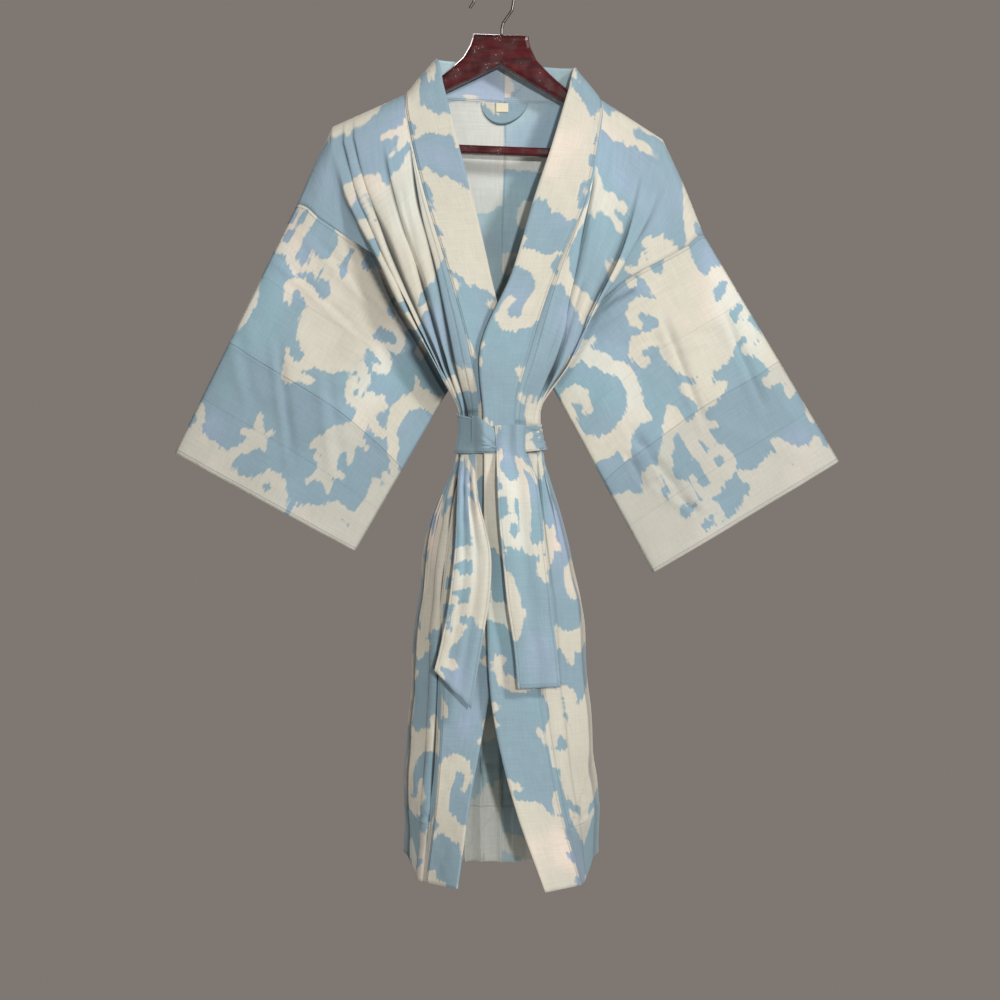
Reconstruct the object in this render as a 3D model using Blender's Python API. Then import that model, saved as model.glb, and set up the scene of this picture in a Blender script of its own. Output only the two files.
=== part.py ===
"""A long cotton robe with wide sleeves and its own tie belt, on a flat wooden hanger with a trouser bar.

The frame is metres with +Z up. The wearer's front faces -Y, and the origin is the top of the hook's inner
side, where a rail carries the whole. Tables are in millimetres: x to the viewer's right, y back, z up.
"""

import math

import bmesh
import bpy
import numpy as np

MM = 0.001

# Walls and clearances
CLOTH = 1.6 * MM
BELT_CLOTH = 1.6 * MM
PATCH_CLOTH = 1.0 * MM
GAP = 0.3 * MM
SEAM_INSET = 0.18 * MM
# How far a wall's mitre may reach outside and inside a bend, as the least length it divides by
OUTSIDE_MITRE = 0.75
INSIDE_MITRE = 0.14

# Hanger and hook
TILT = math.radians(2.26)
HANGER_MIDDLE = 8.6
BLOCK_TOP = -86.0
HANGER_THICK = 12.0
HANGER_EDGE = 5.0
BAR_DROP = 145.0
BAR_SIDE = 11.0
BAR_ROUND = 2.5
BAR_END = 184.0
HOOK_WIRE = 3.6
HOOK_RADIUS = 24.5
HOOK_STEPS = 12
# The hook's wire below and beyond its round top, as x and z in mm
HOOK_STEM = ((9.6, BLOCK_TOP + 0.4), (9.8, -78), (11.5, -71), (17, -63), (22.5, -55), (24.8, -42))
HOOK_TIP = ((-24.3, -36), (-25.4, -45), (-30, -52))

# Stations down the robe, each with the distance that it lies below the shoulder seam, in mm
STATIONS = (
    ("shoulder", 0),
    ("arm", 28),
    ("yoke", 75),
    ("chest", 135),
    ("bust", 230),
    ("underarm", 335),
    ("belt_top", 408),
    ("belt_foot", 456),
    ("hip", 536),
    ("thigh", 633),
    ("knee", 760),
    ("calf", 878),
    ("hem", 978),
)
DROPS = [drop for _, drop in STATIONS]
ROWS_BETWEEN = (3, 2, 2, 2, 2, 2, 2, 2, 2, 2, 2, 2)
UNDERARM = 5
BELT_TOP = 6
BELT_FOOT = 7

# Fronts: band edge, band seam, outer fold, tuck behind that fold, side (the armhole seam to the underarm)
LEFT_FRONT = {
    "shoulder": ((-72, 0, -116), (-111, 0, -161), (-201, 0, -201), (-224, 0, -248), (-246, 0, -298)),
    "arm": ((-63, -16, -150), (-109, -15, -185), (-201, -14, -232), (-210, -12, -275), (-219, -10, -316)),
    "yoke": ((-44, -20, -226), (-100, -18, -232), (-184, -18, -290), (-181, -12, -320), (-179, -10, -343)),
    "chest": ((-28, -28, -286), (-85, -28, -292), (-152, -34, -355), (-131, -20, -358), (-135, -12, -372)),
    "bust": ((-5, -36, -386), (-57, -42, -384), (-109, -46, -438), (-71, -24, -421), (-89, -12, -414)),
    "underarm": ((17, -38, -490), (-29, -50, -491), (-69, -42, -506), (-39, -22, -485), (-40, 0, -500)),
    "belt_top": ((21, -38, -563), (-19, -44, -563), (-40, -22, -563), (-42, -9, -563), (-41, 4, -563)),
    "belt_foot": ((18, -40, -612), (-27, -46, -612), (-43, -22, -612), (-45, -6, -612), (-43, 14, -612)),
    "hip": ((14, -42, -692), (-45, -50, -692), (-75, -25, -692), (-80, 5, -692), (-74, 30, -692)),
    "thigh": ((6, -46, -790), (-61, -50, -790), (-89, -22, -790), (-94, 12, -790), (-87, 42, -790)),
    "knee": ((-8, -48, -918), (-64, -45, -918), (-98, -15, -918), (-106, 22, -918), (-98, 50, -918)),
    "calf": ((-29, -50, -1036), (-71, -35, -1036), (-106, -2, -1036), (-115, 32, -1036), (-106, 58, -1036)),
    "hem": ((-44, -50, -1140), (-84, -20, -1140), (-104, 15, -1140), (-114, 42, -1140), (-104, 64, -1140)),
}
RIGHT_FRONT = {
    "shoulder": ((102, 0, -127), (132, 0, -167), (210, 0, -217), (236, 0, -271), (262, 0, -336)),
    "arm": ((93, -16, -156), (134, -15, -189), (211, -14, -245), (229, -12, -294), (241, -10, -351)),
    "yoke": ((72, -24, -227), (127, -20, -232), (199, -18, -296), (204, -12, -330), (208, -10, -369)),
    "chest": ((52, -36, -288), (114, -32, -293), (169, -34, -361), (156, -20, -368), (171, -12, -389)),
    "bust": ((23, -48, -387), (76, -46, -387), (129, -44, -429), (96, -24, -421), (129, -12, -424)),
    "underarm": ((-17, -58, -488), (44, -56, -486), (91, -42, -504), (63, -22, -485), (59, 0, -500)),
    "belt_top": ((-13, -54, -563), (26, -52, -563), (53, -24, -563), (56, -9, -563), (54, 4, -563)),
    "belt_foot": ((-12, -56, -612), (31, -52, -612), (59, -24, -612), (62, -6, -612), (60, 14, -612)),
    "hip": ((-12, -60, -692), (41, -56, -692), (79, -30, -692), (86, 4, -692), (81, 30, -692)),
    "thigh": ((-9, -62, -790), (49, -58, -790), (100, -28, -790), (108, 10, -790), (100, 42, -790)),
    "knee": ((-2, -64, -918), (59, -60, -918), (113, -20, -918), (120, 20, -918), (110, 50, -918)),
    "calf": ((25, -66, -1036), (80, -55, -1036), (122, -5, -1036), (131, 32, -1036), (121, 58, -1036)),
    "hem": ((62, -66, -1140), (107, -32, -1140), (123, 15, -1140), (133, 42, -1140), (121, 64, -1140)),
}
# Back: left tuck, left fold, left neck, middle, right neck, right fold, right tuck
BACK = {
    "shoulder": ((-224, 0, -248), (-201, 0, -201), (-111, 0, -161), (13, 24, -164),
                 (132, 0, -167), (210, 0, -217), (236, 0, -271)),
    "arm": ((-210, 12, -275), (-201, 14, -232), (-108, 17, -185), (13, 26, -188),
            (132, 17, -189), (211, 14, -245), (229, 12, -294)),
    "yoke": ((-181, 12, -320), (-184, 18, -290), (-98, 24, -232), (13, 30, -236),
             (122, 24, -236), (199, 18, -296), (204, 12, -330)),
    "chest": ((-131, 20, -358), (-150, 32, -355), (-80, 34, -292), (11, 36, -296),
              (104, 34, -297), (167, 32, -361), (156, 20, -368)),
    "bust": ((-73, 24, -421), (-107, 42, -438), (-52, 42, -384), (9, 44, -388),
             (72, 42, -388), (127, 42, -429), (98, 24, -421)),
    "underarm": ((-44, 20, -485), (-67, 36, -500), (-30, 44, -491), (6, 46, -491),
                 (42, 44, -491), (88, 36, -500), (66, 20, -485)),
    "belt_top": ((-40, 15, -563), (-36, 26, -563), (-19, 37, -563), (6, 42, -563),
                 (30, 37, -563), (47, 26, -563), (52, 15, -563)),
    "belt_foot": ((-42, 24, -612), (-37, 34, -612), (-20, 43, -612), (7, 47, -612),
                  (34, 43, -612), (52, 34, -612), (58, 24, -612)),
    "hip": ((-69, 42, -692), (-58, 51, -692), (-30, 58, -692), (6, 60, -692),
            (40, 58, -692), (67, 51, -692), (77, 42, -692)),
    "thigh": ((-80, 54, -790), (-66, 62, -790), (-34, 66, -790), (5, 67, -790),
              (44, 66, -790), (80, 62, -790), (94, 54, -790)),
    "knee": ((-90, 62, -918), (-72, 69, -918), (-36, 72, -918), (8, 72, -918),
             (48, 72, -918), (88, 69, -918), (104, 62, -918)),
    "calf": ((-98, 68, -1036), (-78, 74, -1036), (-38, 76, -1036), (9, 76, -1036),
             (50, 76, -1036), (94, 74, -1036), (112, 68, -1036)),
    "hem": ((-96, 72, -1140), (-78, 77, -1140), (-38, 78, -1140), (10, 78, -1140),
            (52, 78, -1140), (94, 77, -1140), (112, 72, -1140)),
}
# How far the pleats stand out at each station, in mm: front pleats, back pleats, back middle pleats
PLEAT_HEIGHT = {
    "shoulder": (0, 0, 0),
    "arm": (1, 1, 0),
    "yoke": (4, 4, 1),
    "chest": (7, 8, 3),
    "bust": (10, 11, 6),
    "underarm": (8, 9, 7),
    "belt_top": (4, 4, 4),
    "belt_foot": (4, 4, 4),
    "hip": (8, 9, 9),
    "thigh": (8, 11, 11),
    "knee": (8, 12, 12),
    "calf": (8, 13, 13),
    "hem": (8, 13, 13),
}
# Where one pleat ends and the next begins between the band seam and the outer fold, as shares of the way
LEFT_PLEATS = (0.0, 0.30, 0.66, 1.0)
RIGHT_PLEATS = (0.0, 0.40, 0.74, 1.0)
LEFT_BACK_PLEATS = (0.0, 0.30, 0.64, 1.0)
RIGHT_BACK_PLEATS = (0.0, 0.42, 0.72, 1.0)
# The same for the back between the neck points, and how tall each pleat is beside the table's height
MIDDLE_PLEATS = (0.0, 0.22, 0.50, 0.69, 1.0)
MIDDLE_SHARE = (1.0, 0.75, 0.6, 1.0)
PLEAT_COLUMNS = 5
MIDDLE_COLUMNS = 4
RETURN_COLUMNS = 3
BACK_NECK = RETURN_COLUMNS * 2 + PLEAT_COLUMNS * (len(LEFT_BACK_PLEATS) - 1)
BACK_MIDDLE = MIDDLE_COLUMNS * (len(MIDDLE_PLEATS) - 1)

# Middle of the collar band's upper edge, behind the neck
BAND_TOP = (13, 26, -112)

# Sleeves: the outer and inner ends of the cuff's opening, and how far the front and back walls part there
LEFT_CUFF = ((-399, 0, -608), (-174, 0, -731))
RIGHT_CUFF = ((431, 0, -619), (199, 0, -758))
CUFF_DEPTH = 11.0
SLEEVE_ROWS = 7
# How far the sleeve's lowest point stands off the side seam, so that the two walls clear each other there
UNDERARM_CLEAR = 4.0
# Powers that round the cuff's depth, the neck's bow and the patch's edge, and one that leans the patch
CUFF_ROUND = 0.5
NECK_ROUND = 0.6
PATCH_ROUND = 0.42
PATCH_LEAN = 1.25

# Half-moon patch and size label on the inside of the back neck
PATCH_LEFT, PATCH_RIGHT, PATCH_TOP, PATCH_FALL = -16.0, 42.0, 0.9, 28.5
PATCH_COLUMNS, PATCH_ROWS = 10, 4
PATCH_LEAST = 0.12
PATCH_CLEAR = 0.3
LABEL_LEFT, LABEL_RIGHT, LABEL_TOP, LABEL_FALL = 2.0, 18.0, 1.4, 12.5
LABEL_COLUMNS, LABEL_ROWS = 4, 2
LABEL_CLEAR = 0.2

# Belt: the loop's top and foot at angles round the waist, in degrees from the viewer's right to the front
BELT_LOOP = (
    (0, -573, -604),
    (30, -576, -606),
    (70, -578, -610),
    (100, -578, -610),
    (135, -566, -611),
    (165, -560, -609),
    (220, -560, -608),
    (270, -560, -609),
    (320, -564, -606),
    (360, -573, -604),
)
BELT_POINTS = 56
BELT_CLEAR = 0.6
BELT_ROWS = 3
# How far above and below the belt's stations the waist is measured, and how finely
WAIST_REACH = 12
EDGE_STEPS = 12
ROUND_STEPS = 24
# Belt tails: left edge, right edge, as x, y, z in mm, from the top down. None for y lies on the loop
LEFT_TAIL = (
    ((-40, None, -611.9), (-23, None, -611.9)),
    ((-43, -66, -640), (-21, -69, -640)),
    ((-44, -72, -670), (-18, -73, -665)),
    ((-46, -74, -710), (-10, -76, -700)),
    ((-49, -75, -750), (-3, -78, -735)),
    ((-54, -76, -790), (-5, -79, -785)),
    ((-62, -76, -832), (-14, -79, -840)),
    ((-71, -76, -871), (-27, -79, -917)),
)
RIGHT_TAIL = (
    ((1, None, -577), (38, None, -576)),
    ((2, None, -594), (38, None, -594)),
    ((3, None, -611), (39, None, -611)),
    ((4, -75, -645), (52, -72, -645)),
    ((6, -77, -690), (58, -74, -690)),
    ((11, -79, -740), (63, -77, -740)),
    ((16, -80, -790), (69, -78, -790)),
    ((24, -80, -843), (75, -78, -843)),
    ((29, -80, -893), (80, -78, -891)),
)
TAIL_COLUMNS = 8
TAIL_FOLD = 3.0
TAIL_OPENING = 0.6
# Knot: a lump of gathered belt, as its middle and its half sizes in x, y and z
KNOT_MIDDLE = (-6, -64.1, -594)
KNOT_HALF = (5.6, 5.0, 17.0)
KNOT_CREASE = 0.10
# How far the right tail's middle lies in front of the loop's middle
TAIL_LIFT = 2.3

CLOTH_BLUE = (0.37, 0.53, 0.64, 1.0)
CLOTH_CREAM = (0.80, 0.76, 0.69, 1.0)
MAHOGANY = (0.085, 0.012, 0.014, 1.0)
STEEL = (0.62, 0.61, 0.58, 1.0)


def clear_scene():
    for thing in list(bpy.data.objects):
        bpy.data.objects.remove(thing, do_unlink=True)


def finish(name, colour, roughness, metallic=0.0):
    """A material for one kind of surface."""
    material = bpy.data.materials.new(name)
    material.use_nodes = True
    shader = material.node_tree.nodes["Principled BSDF"]
    shader.inputs["Base Color"].default_value = colour
    shader.inputs["Roughness"].default_value = roughness
    shader.inputs["Metallic"].default_value = metallic
    return material


def tangents(points, stops):
    """Slopes for a smooth curve that passes each point at its stop."""
    steps = np.diff(stops)[:, None]
    slopes = np.diff(points, axis=0) / steps
    inner = (slopes[:-1] * steps[1:] + slopes[1:] * steps[:-1]) / (steps[1:] + steps[:-1])
    return np.vstack([slopes[:1], inner, slopes[-1:]])


def on_curve(points, stops, place):
    """The point at a place on the smooth curve through points."""
    points = np.asarray(points, float)
    stops = np.asarray(stops, float)
    slopes = tangents(points, stops)
    index = int(np.clip(np.searchsorted(stops, place, side="right") - 1, 0, len(stops) - 2))
    width = stops[index + 1] - stops[index]
    t = (place - stops[index]) / width
    return (
        points[index] * (1 + 2 * t) * (1 - t) ** 2
        + slopes[index] * width * t * (1 - t) ** 2
        + points[index + 1] * t * t * (3 - 2 * t)
        + slopes[index + 1] * width * t * t * (t - 1)
    )


def on_rail(table, column, drop):
    """A rail's point at a distance below the shoulder, rounded over the top of the hanger's arm."""
    points = [table[name][column] for name, _ in STATIONS]
    arm = DROPS[1]
    if drop >= arm:
        return on_curve(points[1:], DROPS[1:], drop)
    turn = math.pi / 2 * drop / arm
    top, low = np.asarray(points[0], float), np.asarray(points[1], float)
    across = drop / arm
    return np.array([
        top[0] + (low[0] - top[0]) * across,
        top[1] + (low[1] - top[1]) * math.sin(turn),
        top[2] + (low[2] - top[2]) * (1 - math.cos(turn)),
    ])


def pleat_height(kind, drop):
    return max(0.0, on_curve([[PLEAT_HEIGHT[name][kind]] for name, _ in STATIONS], DROPS, drop)[0])


def pleated(start, end, ends, height, outward, columns=PLEAT_COLUMNS):
    """Points from start to end with a rounded pleat between each two of the shares in ends."""
    rows = []
    chord = end - start
    aside = np.array([-chord[1], chord[0], 0.0]) * outward
    aside /= max(np.linalg.norm(aside), 1e-6)
    for low, high in zip(ends[:-1], ends[1:]):
        for step in range(columns):
            share = low + (high - low) * step / columns
            rise = math.sin(math.pi * step / columns) * height
            rows.append(start + chord * share + aside * rise)
    return rows


def turned_back(fold, tuck, side):
    """Points from the outer fold to the tuck behind it and out to the side."""
    stops = (0.0, 1.0, 2.0)
    steps = RETURN_COLUMNS * 2
    return [on_curve((fold, tuck, side), stops, 2.0 * step / steps) for step in range(steps + 1)]


def front_section(table, ends, drop, hand):
    """One row of a front, from the band seam to the side. hand is 1 for the left front, -1 for the right."""
    seam, fold, tuck, side = (on_rail(table, column, drop) for column in (1, 2, 3, 4))
    return pleated(seam, fold, ends, pleat_height(0, drop), hand) + turned_back(fold, tuck, side)


def back_side(table, drop):
    """The back's side edge: the armhole's rear seam above the underarm, the front's side edge below it."""
    side = on_rail(table, 4, drop)
    if drop < DROPS[UNDERARM]:
        side[1] = -side[1]
    return side


def middle_shares():
    """Shares of the way between the neck points, for the columns of the back's middle."""
    shares = []
    for low, high in zip(MIDDLE_PLEATS[:-1], MIDDLE_PLEATS[1:]):
        shares += [low + (high - low) * step / MIDDLE_COLUMNS for step in range(MIDDLE_COLUMNS)]
    return shares + [1.0]


def round_neck(left, middle, right, share):
    """A point on the way from left to right that bows out to middle, as cloth does behind a neck."""
    start, turn = (left, share * 2) if share < 0.5 else (right, (1 - share) * 2)
    point = start + (middle - start) * turn
    point[1] = start[1] + (middle[1] - start[1]) * math.sin(math.pi / 2 * turn) ** NECK_ROUND
    return point


def back_section(drop):
    """One row of the back, from the left side to the right side."""
    rails = [on_rail(BACK, column, drop) for column in range(7)]
    left_tuck, left_fold, left_neck, middle, right_neck, right_fold, right_tuck = rails
    height = pleat_height(1, drop)
    ends = [1 - share for share in reversed(LEFT_BACK_PLEATS)]
    row = list(reversed(turned_back(left_fold, left_tuck, back_side(LEFT_FRONT, drop))))[:-1]
    row += pleated(left_fold, left_neck, ends, height, 1)
    middle_height = pleat_height(2, drop)
    for step, share in enumerate(middle_shares()[:-1]):
        point = round_neck(left_neck, middle, right_neck, share)
        rise = math.sin(math.pi * (step % MIDDLE_COLUMNS) / MIDDLE_COLUMNS)
        point[1] += middle_height * MIDDLE_SHARE[step // MIDDLE_COLUMNS] * rise
        row.append(point)
    row += pleated(right_neck, right_fold, RIGHT_BACK_PLEATS, height, 1)
    row += turned_back(right_fold, right_tuck, back_side(RIGHT_FRONT, drop))
    return row


def drops_of_rows():
    drops = [0.0]
    for index, count in enumerate(ROWS_BETWEEN):
        for step in range(1, count + 1):
            drops.append(DROPS[index] + (DROPS[index + 1] - DROPS[index]) * step / count)
    return drops


def sleeve_grid(front_edge, back_edge, cuff):
    """Rings from the armhole to the cuff, each down the front wall from the top and back up the rear wall."""
    ring = list(front_edge) + list(reversed(back_edge[:-1]))[:-1]
    half = len(front_edge) - 1
    foot_way = np.asarray(cuff[1], float) - ring[half]
    ring[half] = ring[half] + foot_way / np.linalg.norm(foot_way) * UNDERARM_CLEAR
    lengths = np.r_[0, np.cumsum(np.linalg.norm(np.diff(front_edge, axis=0), axis=1))]
    shares = list(lengths / lengths[-1])
    around = shares + list(reversed(shares[:-1]))[:-1]
    top, foot = np.asarray(cuff[0], float), np.asarray(cuff[1], float)
    rows = []
    for step in range(SLEEVE_ROWS + 1):
        out = step / SLEEVE_ROWS
        row = []
        for index, (start, share) in enumerate(zip(ring, around)):
            end = top + (foot - top) * share
            depth = CUFF_DEPTH * math.sin(math.pi * share) ** CUFF_ROUND
            end[1] += -depth if index <= half else depth
            row.append(np.asarray(start) * (1 - out) + end * out)
        rows.append(row)
    return np.array(rows)


def band_grid(left_rows, back_row, right_rows, drops):
    """The collar band, from the left hem up round the neck and down to the right hem, edge to seam."""
    rows = []
    for drop, row in reversed(list(zip(drops, left_rows))):
        edge = on_rail(LEFT_FRONT, 0, drop)
        rows.append((edge, (edge + row[0]) / 2, row[0]))
    left_top = np.array(LEFT_FRONT["shoulder"][0], float)
    right_top = np.array(RIGHT_FRONT["shoulder"][0], float)
    for column, share in enumerate(middle_shares()[1:-1], start=BACK_NECK + 1):
        edge = round_neck(left_top, np.array(BAND_TOP, float), right_top, share)
        rows.append((edge, (edge + back_row[column]) / 2, back_row[column]))
    for drop, row in zip(drops, right_rows):
        edge = on_rail(RIGHT_FRONT, 0, drop)
        rows.append((edge, (edge + row[0]) / 2, row[0]))
    return np.array(rows)


class Sheets:
    """Cloth panels as grids of points on the middle of the wall, which share their points along the seams."""

    def __init__(self):
        self.panels = []
        self.sums = {}

    def key(self, point):
        return tuple(np.round(point, 4))

    def add(self, name, grid, flip=False, ring=False, seams=()):
        grid = np.asarray(grid, float)
        self.panels.append((name, grid, flip, ring, seams))
        rows, columns = grid.shape[:2]
        last = columns if ring else columns - 1
        for i in range(rows - 1):
            for j in range(last):
                k = (j + 1) % columns
                corners = grid[i, j], grid[i, k], grid[i + 1, k], grid[i + 1, j]
                normal = np.cross(corners[2] - corners[0], corners[3] - corners[1])
                normal = normal if flip else -normal
                normal /= max(np.linalg.norm(normal), 1e-9)
                for corner in corners:
                    total = self.sums.setdefault(self.key(corner), [])
                    total.append(normal)

    def offsets(self, grid, ring):
        """How far a unit wall lies outward and inward of each point: mitred, and further inside a bend."""
        outward, inward = np.empty_like(grid), np.empty_like(grid)
        rows, columns = grid.shape[:2]
        for i in range(rows):
            for j in range(columns):
                mean = np.mean(self.sums[self.key(grid[i, j])], axis=0)
                length = max(np.linalg.norm(mean), 1e-6)
                way = mean / length
                steps = [step for step in (-1, 1) if ring or 0 <= j + step < columns]
                beside = [grid[i, (j + step) % columns] for step in steps]
                beside += [grid[i + step, j] for step in (-1, 1) if 0 <= i + step < rows]
                bent = np.dot(np.mean(beside, axis=0) - grid[i, j], way)
                wide, tight = way / max(length, OUTSIDE_MITRE), way / max(length, INSIDE_MITRE)
                outward[i, j] = wide if bent < 0 else tight
                inward[i, j] = tight if bent < 0 else wide
        return outward, inward

    def inset(self, grid, seams):
        """The grid with its seam edges drawn in, so that the panel ends just short of its neighbour."""
        moved = grid.copy()
        pairs = {"first_row": (0, 1), "last_row": (-1, -2)}
        for seam in seams:
            if seam in pairs:
                edge, inner = pairs[seam]
                way = grid[inner] - grid[edge]
                moved[edge] += way / np.linalg.norm(way, axis=1)[:, None] * SEAM_INSET / MM
            else:
                edge, inner = {"first_column": (0, 1), "last_column": (-1, -2)}[seam]
                way = grid[:, inner] - grid[:, edge]
                moved[:, edge] += way / np.linalg.norm(way, axis=1)[:, None] * SEAM_INSET / MM
        return moved

    def build(self, thickness, material):
        for name, grid, flip, ring, seams in self.panels:
            outward, inward = self.offsets(grid, ring)
            half = thickness / MM / 2
            moved = self.inset(grid, seams)
            wall(name, moved + outward * half, moved - inward * half, ring, material)


def wall(name, outer, inner, ring, material):
    """A closed wall between an outer and an inner grid of points, in mm."""
    rows, columns = outer.shape[:2]
    mesh = bpy.data.meshes.new(name)
    points = np.vstack([outer.reshape(-1, 3), inner.reshape(-1, 3)]) * MM
    size = rows * columns
    faces = []
    last = columns if ring else columns - 1

    def at(i, j, under=False):
        return i * columns + j % columns + (size if under else 0)

    for i in range(rows - 1):
        for j in range(last):
            a, b, c, d = at(i, j), at(i + 1, j), at(i + 1, j + 1), at(i, j + 1)
            falling = np.linalg.norm(points[a] - points[c]) < np.linalg.norm(points[b] - points[d])
            for face in ((a, b, c), (a, c, d)) if falling else ((a, b, d), (b, c, d)):
                faces.append(face)
                faces.append(tuple(index + size for index in reversed(face)))
    for j in range(last):
        faces.append((at(0, j), at(0, j + 1), at(0, j + 1, True), at(0, j, True)))
        low = rows - 1
        faces.append((at(low, j + 1), at(low, j), at(low, j, True), at(low, j + 1, True)))
    if not ring:
        end = columns - 1
        for i in range(rows - 1):
            faces.append((at(i + 1, 0), at(i, 0), at(i, 0, True), at(i + 1, 0, True)))
            faces.append((at(i, end), at(i + 1, end), at(i + 1, end, True), at(i, end, True)))
    mesh.from_pydata([tuple(point) for point in points], [], faces)
    close(mesh)
    place(name, mesh, material)


def close(mesh):
    """Turns every face outward."""
    shape = bmesh.new()
    shape.from_mesh(mesh)
    bmesh.ops.recalc_face_normals(shape, faces=shape.faces)
    shape.to_mesh(mesh)
    shape.free()


def place(name, mesh, material):
    thing = bpy.data.objects.new(name, mesh)
    mesh.materials.append(material)
    mesh.shade_smooth()
    mesh.set_sharp_from_angle(angle=math.radians(50))
    bpy.context.scene.collection.objects.link(thing)


def robe(cloth):
    """Fronts, back, sleeves and collar band. Returns the back's grid and the rows at the waist."""
    drops = drops_of_rows()
    left = [front_section(LEFT_FRONT, LEFT_PLEATS, drop, 1) for drop in drops]
    right = [front_section(RIGHT_FRONT, RIGHT_PLEATS, drop, -1) for drop in drops]
    back = [back_section(drop) for drop in drops]
    for row, (front_left, front_right) in enumerate(zip(left, right)):
        if row == 0:
            spread = len(front_left)
            back[0][:spread] = list(reversed(front_left))
            back[0][-spread:] = front_right
        if drops[row] >= DROPS[UNDERARM]:
            back[row][0] = front_left[-1]
            back[row][-1] = front_right[-1]
    armhole = sum(ROWS_BETWEEN[:UNDERARM]) + 1
    sheets = Sheets()
    sheets.add("front_left", left, seams=("first_row", "first_column", "last_column"))
    sheets.add(
        "front_right", [row[::-1] for row in right], seams=("first_row", "first_column", "last_column")
    )
    sheets.add("back", back, seams=("first_row", "first_column", "last_column"))
    left_seams = [row[-1] for row in left[:armhole]], [row[0] for row in back[:armhole]]
    right_seams = [row[-1] for row in right[:armhole]], [row[-1] for row in back[:armhole]]
    left_sleeve = sleeve_grid(*left_seams, LEFT_CUFF)
    right_sleeve = sleeve_grid(*right_seams, RIGHT_CUFF)
    sheets.add("sleeve_left", left_sleeve, flip=True, ring=True, seams=("first_row",))
    sheets.add("sleeve_right", right_sleeve, ring=True, seams=("first_row",))
    sheets.add("collar_band", band_grid(left, back[0], right, drops), flip=True, seams=("last_column",))
    sheets.build(CLOTH, cloth)
    waist = [
        point[:2]
        for row, drop in enumerate(drops)
        if DROPS[BELT_TOP] - WAIST_REACH <= drop <= DROPS[BELT_FOOT] + WAIST_REACH
        for point in list(left[row]) + list(right[row]) + list(back[row])
        + [on_rail(LEFT_FRONT, 0, drop), on_rail(RIGHT_FRONT, 0, drop)]
    ]
    return np.array(back), np.array(waist)


def hull(points):
    """The convex outline of points in the plane, anticlockwise."""
    points = sorted(map(tuple, points))

    def chain(line):
        kept = []
        for point in line:
            while len(kept) > 1:
                a, b = np.subtract(kept[-1], kept[-2]), np.subtract(point, kept[-2])
                if a[0] * b[1] - a[1] * b[0] > 0:
                    break
                kept.pop()
            kept.append(point)
        return kept[:-1]

    return np.array(chain(points) + chain(points[::-1]))


def around_waist(waist, spread):
    """A loop round the waist at a distance from it, as x and y for angles from the right to the front."""
    outline = hull(waist)
    middle = (outline.min(axis=0) + outline.max(axis=0)) / 2
    dense = []
    for start, end in zip(outline, np.roll(outline, -1, axis=0)):
        for step in range(EDGE_STEPS):
            point = start + (end - start) * step / EDGE_STEPS
            for turn in range(ROUND_STEPS):
                angle = 2 * math.pi * turn / ROUND_STEPS
                dense.append(point + spread * np.array([math.cos(angle), math.sin(angle)]))
    outline = hull(dense)
    loop = []
    for index in range(BELT_POINTS):
        angle = -2 * math.pi * index / BELT_POINTS
        way = np.array([math.cos(angle), math.sin(angle)])
        reach = 0.0
        for start, end in zip(outline, np.roll(outline, -1, axis=0)):
            side = end - start
            divide = way[0] * side[1] - way[1] * side[0]
            if abs(divide) < 1e-9:
                continue
            gap = start - middle
            along = (gap[0] * side[1] - gap[1] * side[0]) / divide
            share = (gap[0] * way[1] - gap[1] * way[0]) / divide
            if along > 0 and -1e-9 <= share <= 1 + 1e-9:
                reach = max(reach, along)
        loop.append(middle + way * reach)
    return np.array(loop)


def belt_loop(waist, cloth):
    spread = (CLOTH / 2 + BELT_CLOTH / 2 + GAP) / MM + BELT_CLEAR
    loop = around_waist(waist, spread)
    angles, tops, feet = zip(*BELT_LOOP)
    grid = []
    for step in range(BELT_ROWS + 1):
        row = []
        for index, (x, y) in enumerate(loop):
            angle = 360 * index / BELT_POINTS
            top, foot = np.interp(angle, angles, tops), np.interp(angle, angles, feet)
            row.append((x, y, top + (foot - top) * step / BELT_ROWS))
        grid.append(row)
    sheet = Sheets()
    sheet.add("belt_loop", grid, ring=True)
    sheet.build(BELT_CLOTH, cloth)
    front = loop[loop[:, 1] < loop[:, 1].mean()]
    return front[np.argsort(front[:, 0])]


def belt_tail(name, table, folds, loop_front, lift, cloth):
    """A tail with soft lengthwise folds that open out towards its end."""
    grid = []
    for index, (left, right) in enumerate(table):
        on_loop = left[1] is None
        left, right = (np.array([x, y or 0.0, z], float) for x, y, z in (left, right))
        open_out = index / (len(table) - 1)
        row = []
        for step in range(TAIL_COLUMNS + 1):
            share = step / TAIL_COLUMNS
            point = left + (right - left) * share
            if on_loop:
                point[1] = np.interp(point[0], loop_front[:, 0], loop_front[:, 1]) - lift
            if lift or not on_loop:
                opened = 1 - TAIL_OPENING * open_out
                point[1] -= TAIL_FOLD * opened * math.sin(math.pi * folds * share) ** 2
            row.append(point)
        grid.append(row[::-1])
    sheet = Sheets()
    sheet.add(name, grid)
    sheet.build(BELT_CLOTH, cloth)


def belt_knot(cloth):
    shape = bmesh.new()
    bmesh.ops.create_uvsphere(shape, u_segments=14, v_segments=9, radius=1.0)
    for vertex in shape.verts:
        way = vertex.co.copy()
        crease = 1 - KNOT_CREASE * math.cos(3 * math.atan2(way.y, way.x))
        vertex.co = [
            (KNOT_MIDDLE[axis] + way[axis] * KNOT_HALF[axis] * (crease if axis < 2 else 1)) * MM
            for axis in range(3)
        ]
    mesh = bpy.data.meshes.new("belt_knot")
    shape.to_mesh(mesh)
    shape.free()
    place("belt_knot", mesh, cloth)


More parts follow.
